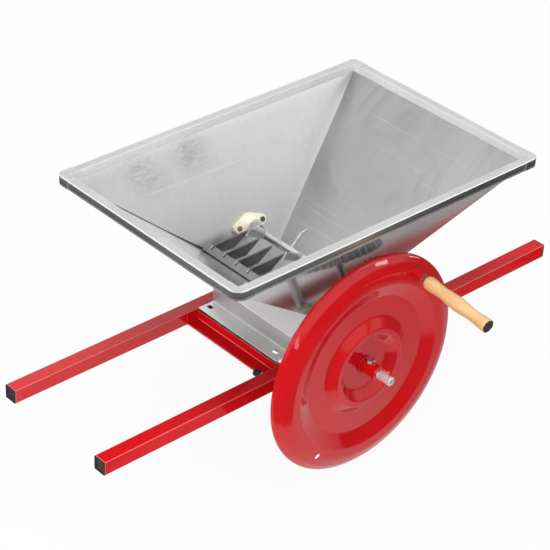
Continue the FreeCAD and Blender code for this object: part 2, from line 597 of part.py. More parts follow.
def knifeBlade(index):
    """A toothed blade standing radially on the rotor."""
    root, reach, depth, half = (size(name) for name in ("knifeRoot", "knifeReach", "knifeTooth", "drumHalf"))
    half -= 1
    teeth = int(size("knifeTeeth"))
    pitch = 2 * half / teeth
    edge = []
    for tooth in range(teeth):
        start = -half + tooth * pitch
        edge += [Vector(0, start + 0.15 * pitch, reach - depth), Vector(0, start + 0.45 * pitch, reach),
                 Vector(0, start + 0.75 * pitch, reach), Vector(0, start + 0.85 * pitch, reach - depth)]
    corners = [Vector(0, -half, root), Vector(0, -half, reach - depth), *edge,
               Vector(0, half, reach - depth), Vector(0, half, root)]
    wall = size("knifeWall")
    face = Part.Face(Part.makePolygon(corners + corners[:1]))
    face.translate(Vector(-wall / 2, 0, 0))
    turn = Rotation(Vector(0, 1, 0), 60 * index + 15)
    return shaped(f"Blade{index}", face.extrude(Vector(wall, 0, 0)),
                  Placement(Vector(size("shaftX"), 0, size("shaftZ")), turn))


def makeRotor():
    blades = [knifeBlade(index) for index in range(6)]
    drum = rod("DrumBar", "drumRadius", "-drumHalf", "drumHalf", "shaftX", "shaftZ")
    slots = []
    for index in range(6):
        slot = doc.addObject("Part::Box", f"DrumSlot{index}")
        bind(slot, Length="knifeWall", Width="2 * drumHalf + 2", Height="drumRadius")
        put(slot, "-knifeWall / 2", "-drumHalf - 1", "knifeRoot")
        carrier = group(f"DrumSlotCarrier{index}", [slot])
        carrier.Placement = blades[index].Placement
        slots.append(carrier)
    bore = rod("DrumBore", "shaftRadius", "-drumHalf - 1", "drumHalf + 1", "shaftX", "shaftZ")
    node(cutAway("Drum", drum, [bore, *slots]), "rotor_drum")
    node(group("Blades", blades), "rotor_knives")


def makeMainBearings():
    bolts = []
    for label, side in (("main_bearing_front", -1), ("main_bearing_rear", 1)):
        flange, boss = "cheekOuter + bearingFlange", "cheekOuter + bearingFlange + bearingBoss"
        steps = [("shaftRadius + runningFit", "cheekOuter"), ("bearingRadius", "cheekOuter"),
                 ("bearingRadius", flange), ("bossRadius", flange), ("bossRadius", boss),
                 ("shaftRadius + runningFit", boss)]
        points = [(radius, f"{side} * ({along_})") for radius, along_ in steps]
        holes = []
        for index, place in enumerate(bearingPlaces(side)):
            holes.append(drill(f"{label}Hole{index}", place, "bearingBoltRadius + 0.1", "bearingFlange + 1"))
            bolts.append(bolt(f"{label}Bolt{index}", place,
                              ("bearingBoltRadius", "bearingBoltAcross", "bearingBoltHead"),
                              "bearingFlange + cheekWall", "bearingBoltHead"))
        node(cutAway(f"{label}Drilled", turned(f"{label}Ring", points, "shaftX", "shaftZ"), holes), label)
    node(group("BearingBolts", bolts), "main_bearing_bolts")


def makeCollars():
    collars = []
    axis = ("shaftX", "shaftZ")
    start = "cheekOuter + bearingFlange + bearingBoss + collarGap"
    for mark, side in (("Front", -1), ("Rear", 1)):
        near, far = f"{side} * ({start})", f"{side} * ({start} + collarLength)"
        low, high = (far, near) if side < 0 else (near, far)
        middle = f"{side} * ({start} + collarLength / 2)"
        ring = cutAway(f"Collar{mark}Ring", rod(f"Collar{mark}Bar", "collarRadius", low, high, *axis), [
            rod(f"Collar{mark}Bore", "shaftRadius", f"{low} - 1", f"{high} + 1", *axis),
            post(f"Collar{mark}Tap", "grubRadius", "shaftX", middle, "shaftZ", "shaftZ + collarRadius + 1")])
        seat = post(f"Collar{mark}Grub", "grubRadius", "shaftX", middle, "shaftZ + shaftRadius",
                    "shaftZ + shaftRadius + grubLength")
        collars += [ring, seat]
    node(group("Collars", collars), "shaft_collars")


def toothedFace(teeth, phase):
    """A spur gear's outline round the origin in the XZ plane, a tooth at the phase."""
    module = size("gearModule")
    pitch = module * teeth / 2
    base, tip, root = pitch * math.cos(math.radians(20)), pitch + module, pitch - 1.25 * module
    involute = math.tan(math.radians(20)) - math.radians(20)
    half = (math.pi * module / 2 - size("gearSlack") / 2) / (2 * pitch)

    def at(radius, angle):
        return Vector(radius * math.cos(angle), 0, radius * math.sin(angle))

    def flank(radius):
        turn = math.acos(min(1, base / radius))
        return half + involute - (math.tan(turn) - turn)

    start = max(base, root)
    radii = [start + (tip - start) * step / 6 for step in range(7)]
    edges = []
    for tooth in range(teeth):
        middle = phase + 2 * math.pi * tooth / teeth
        following = middle + 2 * math.pi / teeth
        rising = [at(radius, middle - flank(radius)) for radius in radii]
        falling = [at(radius, middle + flank(radius)) for radius in reversed(radii)]
        foot = at(root, middle - flank(start))
        heel, nextFoot = at(root, middle + flank(start)), at(root, following - flank(start))
        if start > root + 1e-6:
            edges.append(Part.makeLine(foot, rising[0]))
        for points in (rising, falling):
            curve = Part.BSplineCurve()
            curve.interpolate(points)
            edges.append(curve.toShape())
            if points is rising:
                edges.append(Part.Arc(rising[-1], at(tip, middle), falling[0]).toShape())
        if start > root + 1e-6:
            edges.append(Part.makeLine(falling[-1], heel))
        edges.append(Part.Arc(heel, at(root, middle + math.pi / teeth), nextFoot).toShape())
    return Part.Face(Part.Wire(Part.__sortEdges__(edges)))


def gearBlank(name, teeth, phase, x, z):
    length = size("gearFace")
    body = toothedFace(teeth, phase).extrude(Vector(0, length, 0))
    return shaped(name, body, Placement(Vector(size(x), size("gearEnd"), size(z)), Rotation()))


def makeGears():
    main, cross = ("shaftX", "shaftZ"), ("agitatorX", "agitatorZ")
    towards = math.atan2(size("agitatorZ") - size("shaftZ"), size("agitatorX") - size("shaftX"))
    teeth = int(size("pinionTeeth"))
    blank = gearBlank("PinionTeeth", teeth, towards, *main)
    middle = "gearStart + pinionHubLength / 2"
    hub = rod("PinionHub", "pinionHubRadius", "gearStart", "gearStart + pinionHubLength", *main)
    pinion = cutAway("Pinion", fused("PinionSolid", [blank, hub]), [
        rod("PinionBore", "shaftRadius", "gearEnd - 1", "gearStart + pinionHubLength + 1", *main),
        post("PinionTap", "grubRadius", "shaftX", middle, "shaftZ", "shaftZ + pinionHubRadius + 1")])
    grub = post("PinionGrub", "grubRadius", "shaftX", middle, "shaftZ + shaftRadius",
                "shaftZ + shaftRadius + grubLength")
    node(group("PinionSet", [pinion, grub]), "pinion")

    teeth = int(size("gearTeeth"))
    blank = gearBlank("GearTeeth", teeth, towards + math.pi + math.pi / teeth, *cross)
    side = "(gearFace - gearWeb) / 2"
    recess = []
    for mark, low, high in (("Back", f"gearStart - {side}", "gearStart + 1"),
                            ("Front", "gearEnd - 1", f"gearEnd + {side}")):
        recess.append(cutAway(
            f"GearRecess{mark}", rod(f"GearRecess{mark}Disc", "gearRoot - gearRim", low, high, *cross),
            [rod(f"GearRecess{mark}Hub", "gearHubRadius", low, high, *cross)]))
    recess.append(rod("GearBore", "agitatorRadius", "gearEnd - 1", "gearStart + 1", *cross))
    node(cutAway("Gear", blank, recess), "agitator_gear")
    stem = rod("GearStem", "threadRadius", "agitatorFront - 1", "gearStart", *cross)
    face = "gearEnd - gearWasher"
    washer = cutAway("GearWasher", rod("GearWasherDisc", "gearNutAcross * 0.7", face, "gearEnd", *cross), [stem])
    nut = cutAway("GearNut", hexBar("GearNutBar", "gearNutAcross", f"{face} - gearNutLength", face, *cross),
                  [stem])
    node(group("GearFixing", [washer, nut]), "gear_nut_washer")


def makeAgitator(inside):
    points = [("0", "agitatorRear"), ("agitatorRadius - 1", "agitatorRear"),
              ("agitatorRadius", "agitatorRear - 1"), ("agitatorRadius", "gearEnd"), ("threadRadius", "gearEnd"),
              ("threadRadius", "agitatorFront + 1"), ("threadRadius - 1", "agitatorFront"),
              ("0", "agitatorFront")]
    node(turned("AgitatorShaft", points, "agitatorX", "agitatorZ"), "agitator_shaft")
    axis = Vector(size("agitatorX"), 0, size("agitatorZ"))
    core = rod("AgitatorCore", "agitatorRadius", "agitatorFront", "agitatorRear", "agitatorX", "agitatorZ")

    paddles = []
    for index, place in enumerate(("2.5 * finPitch", "-finPitch / 2", "-2.5 * finPitch")):
        bar = doc.addObject("Part::Box", f"PaddleBar{index}")
        bind(bar, Length="paddleLength", Width="paddleWall", Height="paddleHeight")
        put(bar, "0", f"{place} - paddleWall / 2", "-paddleHeight / 2")
        carrier = group(f"PaddleCarrier{index}", [bar])
        carrier.Placement = Placement(axis, Rotation(Vector(0, 1, 0), size("paddleTilt") - 180))
        paddles.append(cutAway(f"Paddle{index}", carrier, [core]))
    node(group("Paddles", paddles), "agitator_paddles")

    spikes = []
    bend = size("spikeBend")
    for index, place in enumerate(("finPitch / 2", "-1.5 * finPitch")):
        stem = doc.addObject("Part::Cylinder", f"SpikeStem{index}")
        bind(stem, Radius="spikeRadius", Height="spikeLength")
        knee = doc.addObject("Part::Sphere", f"SpikeKnee{index}")
        bind(knee, Radius="spikeRadius")
        put(knee, "0", "0", "spikeLength")
        tip = doc.addObject("Part::Cone", f"SpikeTip{index}")
        bind(tip, Radius1="spikeRadius", Radius2="spikeRadius * 0.6", Height="spikeTip")
        put(tip, "0", "0", "spikeLength", Rotation(Vector(0, 1, 0), bend))
        carrier = group(f"SpikeCarrier{index}", [fused(f"SpikeRod{index}", [stem, knee, tip])])
        carrier.Placement = Placement(axis, Rotation(Vector(0, 1, 0), 90 - size("spikeTilt")))
        carrier.setExpression("Placement.Base.y", bound(place))
        spikes.append(cutAway(f"Spike{index}", carrier, [core]))
    node(group("Spikes", spikes), "agitator_spikes")

    collars = []
    for mark, side in (("Front", -1), ("Rear", 1)):
        near, far = f"{side} * hexStart", f"{side} * (hexStart - hexLength)"
        low, high = (near, far) if side < 0 else (far, near)
        bar = hexBar(f"Hex{mark}Bar", "hexAcross", low, high, "agitatorX", "agitatorZ")
        collars.append(cutAway(f"Hex{mark}", bar, [core]))
    node(group("HexCollars", collars), "agitator_hex_collars")

    screws = []
    for label, side in (("agitator_bearing_front", -1), ("agitator_bearing_rear", 1)):
        radius, end, span = size("creamRadius"), size("creamEnd"), size("creamSpan")
        slant = math.acos((radius - end) / span)
        corners = []
        for start, reach, turn in ((0, radius, slant), (span, end, slant), (span, end, -slant),
                                   (0, radius, -slant), (0, radius, math.pi + slant),
                                   (-span, end, math.pi + slant), (-span, end, math.pi - slant),
                                   (0, radius, math.pi - slant)):
            corners.append(Vector(start + reach * math.cos(turn), reach * math.sin(turn), 0))
        height = size("creamFlange")
        flange = Part.Face(Part.makePolygon(corners + corners[:1])).extrude(Vector(0, 0, height))
        for start, reach in ((0, radius), (span, end), (-span, end)):
            flange = flange.fuse(Part.makeCylinder(reach, height, Vector(start, 0, 0)))
        flange = shaped(f"{label}Flange", flange.removeSplitter(), wallPlace(side))
        tall = ("creamFaceY - creamBoss", "sideWallY + creamBossRadius")
        low, high = tall if side > 0 else (f"-({tall[1]})", f"-({tall[0]})")
        boss = common(f"{label}Boss", [
            rod(f"{label}BossBar", "creamBossRadius", low, high, "agitatorX", "agitatorZ"), inside])
        holes = [rod(f"{label}Bore", "agitatorRadius + runningFit", "-rimWidth" if side < 0 else "0",
                     "0" if side < 0 else "rimWidth", "agitatorX", "agitatorZ")]
        for index, place in enumerate(screwPlaces(side)):
            holes.append(drill(f"{label}Hole{index}", place, "creamScrewRadius + 0.1", "creamFlange + 1"))
            screws.append(bolt(f"{label}Screw{index}", place,
                               ("creamScrewRadius", "creamScrewAcross", "creamScrewHead"),
                               "creamFlange + wallSheet", "creamScrewHead"))
        node(cutAway(f"{label}Drilled", fused(f"{label}Solid", [flange, boss]), holes), label)
    node(group("BearingScrews", screws), "agitator_bearing_screws")


def rounded(corners, radii):
    """A wire through corners in the XY plane, each inner corner rounded."""
    edges, last = [], corners[0]
    for before, corner, after, radius in zip(corners, corners[1:], corners[2:], radii):
        arrive, leave = (corner - before).normalize(), (after - corner).normalize()
        turn = arrive.getAngle(leave)
        cut = radius * math.tan(turn / 2)
        start, end = corner - arrive * cut, corner + leave * cut
        inward = (leave - arrive).normalize()
        middle = corner + inward * (radius / math.cos(turn / 2) - radius)
        edges += [Part.makeLine(last, start), Part.Arc(start, middle, end).toShape()]
        last = end
    edges.append(Part.makeLine(last, corners[-1]))
    return Part.Wire(edges)


def ringTo(wire, level):
    """The ring between the wheel's outline and a plane across its axis."""
    first, last = (wire.OrderedVertexes[index].Point for index in (0, -1))
    corners = (last, Vector(last.x, level, 0), Vector(first.x, level, 0), first)
    edges = wire.Edges + [Part.makeLine(*pair) for pair in zip(corners, corners[1:])]
    return Part.Face(Part.Wire(Part.__sortEdges__(edges))).revolve(Vector(), Vector(0, 1, 0), 360)


def makeFlywheel():
    radius, land, face = size("wheelRadius"), size("landRing"), size("wheelFace")
    side = size("wheelShoulder") + (radius - size("shoulderRing")) * 0.8
    corners = [Vector(*pair, 0) for pair in (
        (radius, size("wheelLip")), (radius, side), (size("shoulderRing"), size("wheelShoulder")),
        (size("landEdge"), face), (land, face), (size("floorRing"), size("wheelRing")),
        (size("coneRing"), size("wheelRing")), (size("crestRing") + 6, face), (size("crestRing") - 6, face),
        (size("dishRing"), size("wheelFloor")), (size("hubRadius"), size("wheelFloor")))]
    wire = rounded(corners, (9, size("shoulderCurve"), size("landCurve"), 9, 9, 8, 6, 6, 7))
    inner = wire.makeOffset2D(size("wheelSheet"), join=0, fill=False, openResult=True)
    place = Placement(Vector(size("shaftX"), 0, size("shaftZ")), Rotation())
    pressed = wire.makeOffset2D(size("wheelSheet"), join=0, fill=True, openResult=True)
    disc = shaped("PressedDisc", pressed.revolve(Vector(), Vector(0, 1, 0), 360), place)
    vent = [f"{middle} + ventRing * {part}(ventAngle * 1 deg)"
            for middle, part in (("shaftX", "cos"), ("shaftZ", "sin"))]
    deep = ("wheelFace - 5", "wheelLip")
    middle = rod("DiscMiddle", "seamRing", *deep, "shaftX", "shaftZ")
    node(common("Disc", [disc, middle]), "flywheel_disc")
    node(cutAway("Rim", disc, [
        middle, rod("RimSpindle", "spindleHole", *deep, "handleX", "handleZ"),
        rod("RimVent", "ventRadius", *deep, *vent)]), "flywheel_rim")
    bore = rod("HubBore", "stubRadius", "hubEnd - 1", "shaftStep + 1", "shaftX", "shaftZ")
    points = [("0", "shaftStep"), ("hubRadius", "shaftStep"), ("hubRadius", "hubEnd + 2"),
              ("hubRadius - 2", "hubEnd"), ("0", "hubEnd")]
    hub = cutAway("Hub", turned("HubBar", points, "shaftX", "shaftZ"), [
        bore, post("HubTap", "clampRadius", "shaftX", "clampPlace", "shaftZ", "shaftZ + hubRadius + 1")])
    node(hub, "flywheel_hub")
    node(cutAway("HubRing", rod("HubRingBar", "hubRingRadius", "wheelFloor - hubRingWall", "wheelFloor",
                                "shaftX", "shaftZ"),
                 [rod("HubRingBore", "hubRadius", "wheelFloor - hubRingWall - 1", "wheelFloor + 1",
                      "shaftX", "shaftZ")]), "hub_ring")
    head = doc.addObject("Part::Prism", "ClampHead")
    bind(head, Circumradius="clampAcross / sqrt(3)", Height="clampHead")
    put(head, "shaftX", "clampPlace", "shaftZ + hubRadius")
    shank = post("ClampShank", "clampRadius", "shaftX", "clampPlace", "shaftZ + stubRadius",
                 "shaftZ + hubRadius + 1")
    node(fused("Clamp", [head, shank]), "hub_clamp_bolt")
    return [shaped("BehindWheel", ringTo(wire, size("wheelLip") + size("wheelSheet")), place),
            shaped("BeforeWheel", ringTo(inner, size("wheelFace") - size("wheelSheet")), place)]


def leaned(name, parts):
    """Pieces made about the Y axis from y = 0, set on the wheel's face and leaned toward the hub."""
    angle = math.radians(size("handleAngle"))
    result = group(name, parts)
    result.Placement = Placement(Vector(size("handleX"), size("wheelFace"), size("handleZ")),
                                 Rotation(Vector(math.sin(angle), 0, -math.cos(angle)), size("handleLean")))
    return result


def makeHandle(behind, before):
    axis = ("0", "0")
    stem = rod("SpindleStem", "spindleRadius", "gripEnd", "spindleBack", *axis)
    tube = cutAway("HandleBossTube", rod("HandleBossBar", "handleBossRadius", "-handleBossLength",
                                         "wheelSheet * 2", *axis), [stem])
    node(cutAway("HandleBoss", leaned("HandleBossLeaned", [tube]), [behind]), "handle_boss")
    head = "gripSeat - gripGap"
    tip = f"{head} - spindleHeadLength"
    points = [("0", "spindleBack"), ("spindleRadius - spindleBevel", "spindleBack"),
              ("spindleRadius", "spindleBack - spindleBevel"), ("spindleRadius", head),
              ("spindleHeadRadius", head), ("spindleHeadRadius", f"{tip} + spindleBevel"),
              ("spindleHeadRadius - spindleBevel", tip), ("0", tip)]
    node(leaned("SpindleLeaned", [turned("Spindle", points, *axis)]), "handle_spindle")
    seat = "-handleBossLength"
    front = cutAway("SpindleNutFront", hexBar("SpindleNutFrontBar", "spindleNutAcross",
                                              f"{seat} - spindleNutLength", seat, *axis), [stem])
    back = cutAway("SpindleNutBack", hexBar("SpindleNutBackBar", "spindleNutAcross", "0",
                                            "spindleBack - wheelSheet", *axis), [stem])
    trimmed = cutAway("SpindleNutTrimmed", leaned("SpindleNutBackLeaned", [back]), [before])
    node(group("SpindleNuts", [leaned("SpindleNutFrontLeaned", [front]), trimmed]), "spindle_nuts")


def makeGrip():
    start, end, seat = size("gripStart"), size("gripEnd"), size("gripSeat")
    length = start - end
    neck, bulge, waist = size("gripNeck"), size("gripBulge"), size("gripWaist")
    palm, throat, flare = size("gripPalm"), size("gripThroat"), size("gripFlare")
    mouth = flare - 0.4
    stations = ((0, neck), (0.02, neck + 1.9), (0.06, bulge), (0.1, bulge), (0.15, bulge - 0.9),
                (0.22, waist), (0.3, waist + 0.4), (0.4, palm - 0.8), (0.48, palm), (0.56, palm - 0.2),
                (0.65, palm - 1.5), (0.77, throat), (0.83, throat + 0.3), (0.9, flare - 0.7), (0.96, flare),
                (1, mouth))
    curve = Part.BSplineCurve()
    curve.interpolate([Vector(radius, start - share * length, 0) for share, radius in stations])
    bore, wide = size("spindleRadius") + size("runningFit"), size("spindleHeadRadius") + 0.5
    cap, depth = size("capRadius"), size("capDepth")
    inner = [Vector(*pair, 0) for pair in (
        (mouth, end), (cap, end), (cap, end + depth), (wide, end + depth), (wide, seat), (bore, seat),
        (bore, start), (neck, start))]
    edges = [curve.toShape()] + [Part.makeLine(*pair) for pair in zip(inner, inner[1:])]
    solid = Part.Face(Part.Wire(Part.__sortEdges__(edges))).revolve(Vector(), Vector(0, 1, 0), 360)
    node(leaned("GripLeaned", [shaped("Grip", solid)]), "handle_grip")
    face = "gripEnd - capProud"
    points = [("0", "gripEnd + capDepth"), ("capRadius", "gripEnd + capDepth"),
              ("capRadius", f"{face} + capProud * 0.7"), ("capRadius - capProud * 0.7", face), ("0", face)]
    node(leaned("GripCapLeaned", [turned("GripCap", points, "0", "0")]), "grip_cap")


def exportNodes():
    doc.recompute()
    for thing in doc.Objects:
        if {"Invalid", "Error"} & set(thing.State):
            raise RuntimeError(f"{thing.Label} did not compute")
    os.makedirs("parts", exist_ok=True)
    for thing in nodes:
        shape = thing.Shape
        if shape.isNull() or not shape.isValid() or not shape.Solids:
            raise RuntimeError(f"{thing.Label} has no sound shape")
        shape.exportStep(f"parts/{thing.Label}.step")
        print(thing.Label, len(shape.Solids), round(shape.Volume / 1000, 2))


fillSheet("sizes", driving, "")
fillSheet("places", derived, "=")
makeRails()
makePlugs()
makeAngles()
makeStop()
makeBasePlates()
makeCheeks()
makeGuide()
inside = makeHopper()
makeRim()
makeCorners()
makeComb()
makeMainShaft()
makeRotor()
makeMainBearings()
makeCollars()
makeGears()
makeAgitator(inside)
makeHandle(*makeFlywheel())
makeGrip()
exportNodes()
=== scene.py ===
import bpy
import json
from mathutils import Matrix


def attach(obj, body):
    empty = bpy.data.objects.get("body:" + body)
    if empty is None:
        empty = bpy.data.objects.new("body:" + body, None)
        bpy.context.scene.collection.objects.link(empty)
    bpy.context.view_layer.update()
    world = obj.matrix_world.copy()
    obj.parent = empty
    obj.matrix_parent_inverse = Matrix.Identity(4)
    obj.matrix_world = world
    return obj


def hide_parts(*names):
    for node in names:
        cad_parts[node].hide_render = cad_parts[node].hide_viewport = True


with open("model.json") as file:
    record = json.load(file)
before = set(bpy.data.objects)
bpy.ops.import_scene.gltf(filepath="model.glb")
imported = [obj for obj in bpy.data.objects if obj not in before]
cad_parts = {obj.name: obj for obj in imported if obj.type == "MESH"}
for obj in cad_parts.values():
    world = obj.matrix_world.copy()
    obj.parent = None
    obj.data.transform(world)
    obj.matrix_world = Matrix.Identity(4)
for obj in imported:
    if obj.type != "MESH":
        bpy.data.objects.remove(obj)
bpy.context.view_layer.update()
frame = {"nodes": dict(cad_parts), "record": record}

import json
import math

import bmesh
import bpy
from mathutils import Matrix, Vector

nodes = frame["nodes"]
slotOf = {part["node"]: part["material_slot"] for part in frame["record"]["subparts"]}
bodyOf = {name: body for body, names in frame["record"]["behaviour"]["bodies"].items() for name in names}
scene = bpy.context.scene
print("frame loaded:", len(nodes), "nodes")


def grey(level):
    return (level, level, level)


# most of a noise's values lie between these two
noiseSpan = (0.3, 0.7)


class Wire:
    # a socket that can be added, multiplied and so on
    def __init__(self, tree, socket):
        self.tree, self.socket = tree, socket

    def math(self, operation, other=0.0, flip=False):
        first, second = (other, self) if flip else (self, other)
        return self.tree.add("Math", {"operation": operation}, {0: first, 1: second})

    def __add__(self, other):
        return self.math("ADD", other)

    def __sub__(self, other):
        return self.math("SUBTRACT", other)

    def __rsub__(self, other):
        return self.math("SUBTRACT", other, True)

    def __mul__(self, other):
        return self.math("MULTIPLY", other)

    def __rmul__(self, other):
        return self.math("MULTIPLY", other, True)

    def __pow__(self, other):
        return self.math("POWER", other)

    def size(self):
        return self.math("ABSOLUTE")


class Nodes:
    # one node tree, with one way to add a node: its type, its settings, its sockets
    def __init__(self, tree):
        self.tree = tree

    def link(self, value, socket):
        if isinstance(value, Wire):
            self.tree.links.new(value.socket, socket)
        elif isinstance(value, tuple) and len(value) == 3 and socket.type == "RGBA":
            socket.default_value = (*value, 1)
        else:
            socket.default_value = value

    def add(self, kind, settings=None, sockets=None, out=0):
        whole = kind.startswith(("Geometry", "Function"))
        node = self.tree.nodes.new(kind if whole else "ShaderNode" + kind)
        for name, value in (settings or {}).items():
            setattr(node, name, value)
        for name, value in (sockets or {}).items():
            self.link(value, node.inputs[name])
        return Wire(self, node.outputs[out]) if len(node.outputs) else node

    def ramp(self, stops, value):
        # levels of grey between stops
        wire = self.add("ValToRGB", None, {0: value})
        elements = wire.socket.node.color_ramp.elements
        while len(elements) < len(stops):
            elements.new(0.5)
        for element, (place, level) in zip(elements, stops):
            element.position = place
            element.color = (*grey(level), 1)
        return wire

    def mix(self, factor, low, high):
        node = self.tree.nodes.new("ShaderNodeMix")
        node.data_type = "RGBA"
        for index, value in ((0, factor), (6, low), (7, high)):
            self.link(value, node.inputs[index])
        return Wire(self, node.outputs[2])

    def level(self, value, low, high, start=0.0, end=1.0):
        return self.add("MapRange", {"clamp": True}, {"Value": value, "From Min": start, "From Max": end,
                                                      "To Min": low, "To Max": high})


class Finish(Nodes):
    # a material round one Principled shader
    def __init__(self, name, **fixed):
        self.material = bpy.data.materials.new(name)
        self.material.use_nodes = True
        super().__init__(self.material.node_tree)
        self.shader = next(n for n in self.tree.nodes if n.type == "BSDF_PRINCIPLED")
        for key, value in fixed.items():
            self.link(value, self.shader.inputs[key.replace("_", " ")])
        self.object = self.add("TexCoord", out=3)

    def mapped(self, scale=(1, 1, 1), turn=(0, 0, 0), shift=(0, 0, 0)):
        sockets = {"Vector": self.object, "Scale": scale, "Rotation": turn, "Location": shift}
        return self.add("Mapping", None, sockets)

    def noise(self, scale, detail=3, rough=0.5, where=None, warp=0.0):
        return self.add("TexNoise", None, {"Vector": where or self.object, "Scale": scale, "Detail": detail,
                                           "Roughness": rough, "Distortion": warp})

    def vector(self, operation, first, second=(0, 0, 0), out=0):
        return self.add("VectorMath", {"operation": operation}, {0: first, 1: second}, out)

    def bump(self, height, strength, distance):
        return self.add("Bump", None, {"Height": height, "Strength": strength, "Distance": distance})

    def axis(self, index):
        return self.add("SeparateXYZ", None, {0: self.object}, out=index)

    def near(self, place, reach, soft):
        # 1 at a place, fading to 0 at its reach
        return self.level(self.vector("DISTANCE", self.object, place, 1), 1, 0, reach * (1 - soft), reach)

    def tinted(self, value, colour):
        return self.add("HueSaturation", None, {"Value": value, "Color": colour})

    def feed(self, **sockets):
        for key, wire in sockets.items():
            self.tree.links.new(wire.socket, self.shader.inputs[key.replace("_", " ")])
        return self.material


# enamel: a smooth glossy coat, slight orange peel, a few specks of dust
# the rear rail's coat dulls from one x to another, and a painted shadow darkens the place on it that the
# plate's slot shows
enamel = {
    "frameEnamel": {"colour": (0.65, 0.0042, 0.0070), "coat": 0.42, "haze": 0.10, "peel": 0.03, "dust": 0.14},
    "rearEnamel": {"colour": (0.66, 0.0050, 0.0080), "coat": 1.0, "haze": 0.10, "peel": 0.03, "dust": 0.22,
                   "wearAndHighlight": (-0.20, 0.15), "wornCoat": 0.12, "dark": (-0.1216, 0.126, 0.021), "reach": 0.0125},
    "wheelEnamel": {"colour": (0.56, 0.0030, 0.0065), "coat": 1.0, "haze": 0.03, "peel": 0.010, "dust": 0.06},
    # the lighter red below is for the rails' eased edges: a painted highlight along them
    "frameEdge": {"colour": (0.86, 0.20, 0.19), "coat": 1.0, "haze": 0.05, "peel": 0.01, "dust": 0.2},
}
paintGrain = {"drift": 5, "tone": (0.94, 1.05), "specks": 1300, "speckSpan": (0.70, 0.78), "peel": 420,
              "sheen": 22, "rough": (0.36, 0.46), "dustColour": (0.82, 0.42, 0.40), "slotShadowColour": grey(0.004)}


def redPaint(name):
    sizes, grain = enamel[name], paintGrain
    paint = Finish(name, Coat_Weight=sizes["coat"], Coat_Roughness=sizes["haze"], Coat_IOR=1.5, IOR=1.45,
                   Specular_IOR_Level=0.02)
    drift = paint.level(paint.noise(grain["drift"]), *grain["tone"], *noiseSpan)
    specks = paint.level(paint.noise(grain["specks"], 1), 0, sizes["dust"], *grain["speckSpan"])
    base = paint.mix(specks, paint.tinted(drift, sizes["colour"]), grain["dustColour"])
    if "wearAndHighlight" in sizes:
        # painted shadow: a near-black spot on the rear rail where it shows through the plate's slot
        base = paint.mix(paint.near(sizes["dark"], sizes["reach"], 0.3), base, grain["slotShadowColour"])
        paint.feed(Coat_Weight=paint.level(paint.axis(0), sizes["coat"], sizes["wornCoat"], *sizes["wearAndHighlight"]))
    return paint.feed(Base_Color=base,
                      Roughness=paint.level(paint.noise(grain["sheen"]), *grain["rough"], *noiseSpan),
                      Normal=paint.bump(paint.noise(grain["peel"], 2), sizes["peel"], 0.0004))


# sheet metal: grain along one way, cloudy gloss, grime in blotches and hair scratches
sheets = {
    "plateSheet": {"grain": (0.05, 1, 1), "cloud": 6, "grime": 0.16, "scratch": 0.22, "shade": (0.80, 0.92),
                   "rough": (0.32, 0.42), "depth": 0.05, "metal": 0.65},
    # the riser and the roof are faces of the plate's one steel: the riser darker as painted shade, the roof
    # lighter as painted light
    "riserSheet": {"grain": (1, 0.05, 1), "cloud": 6, "grime": 0.18, "scratch": 0.18, "shade": (0.52, 0.64),
                   "rough": (0.32, 0.42), "depth": 0.05, "metal": 0.75},
    "roofSheet": {"grain": (1, 0.05, 1), "cloud": 6, "grime": 0.22, "scratch": 0.12, "shade": (0.84, 0.94),
                  "rough": (0.34, 0.44), "depth": 0.05, "metal": 0.45},
    "rimInside": {"grain": (1, 1, 0.1), "cloud": 6, "grime": 0.10, "scratch": 0.12, "shade": (0.84, 0.94),
                  "rough": (0.40, 0.50), "depth": 0.03, "metal": 0.15},
    # the hopper's walls are one steel, each wall's shade set to its light: the right (end) wall darker as
    # painted shade, the comb wall lighter as painted light
    "sideWall": {"grain": (1, 0.6, 0.03), "cloud": 2.2, "grime": 0.10, "scratch": 0.16, "shade": (0.59, 0.70),
                 "rough": (0.32, 0.40), "depth": 0.03, "metal": 1.0},
    "endWall": {"grain": (0.06, 1, 0.08), "cloud": 2.6, "grime": 0.14, "scratch": 0.16, "shade": (0.42, 0.54),
                "rough": (0.24, 0.34), "depth": 0.03, "metal": 1.0},
    "combWallSheet": {"grain": (0.06, 1, 0.08), "cloud": 3, "grime": 0.06, "scratch": 0.10,
                      "shade": (0.82, 0.92), "rough": (0.16, 0.22), "depth": 0.01, "metal": 1.0},
    "mirrorSheet": {"grain": (1, 0.6, 0.05), "cloud": 3, "grime": 0.12, "scratch": 0.14,
                    "shade": (0.42, 0.55), "rough": (0.10, 0.16), "depth": 0.006, "metal": 0.7},
    "rimSheet": {"grain": (0.03, 1, 1), "cloud": 5, "grime": 0.10, "scratch": 0.20, "shade": (0.64, 0.74),
                 "rough": (0.30, 0.38), "depth": 0.05, "metal": 1.0},
    "capSheet": {"grain": (0.4, 0.2, 1), "cloud": 26, "grime": 0.22, "scratch": 0.22, "shade": (0.60, 0.76),
                 "rough": (0.26, 0.38), "depth": 0.08, "metal": 1.0},
}
sheetGrain = {"grain": 90, "tint": 0.10, "cloudSpan": (0.32, 0.68), "grime": 11, "grimeSpan": (0.58, 0.76),
              "grimeShift": (3.1, 1.7, 0.4), "grimeDark": grey(0.15), "grimeRough": 0.10, "hair": 30,
              "hairStretch": (1, 0.02, 0.5), "hairWidth": 0.006, "hairMost": 0.5, "hairLight": grey(0.86),
              "hairTurns": (((0.3, 0.5, 0.9), (1.3, 0, 0)), ((0.8, -0.4, 0.2), (5.1, 0, 0)))}


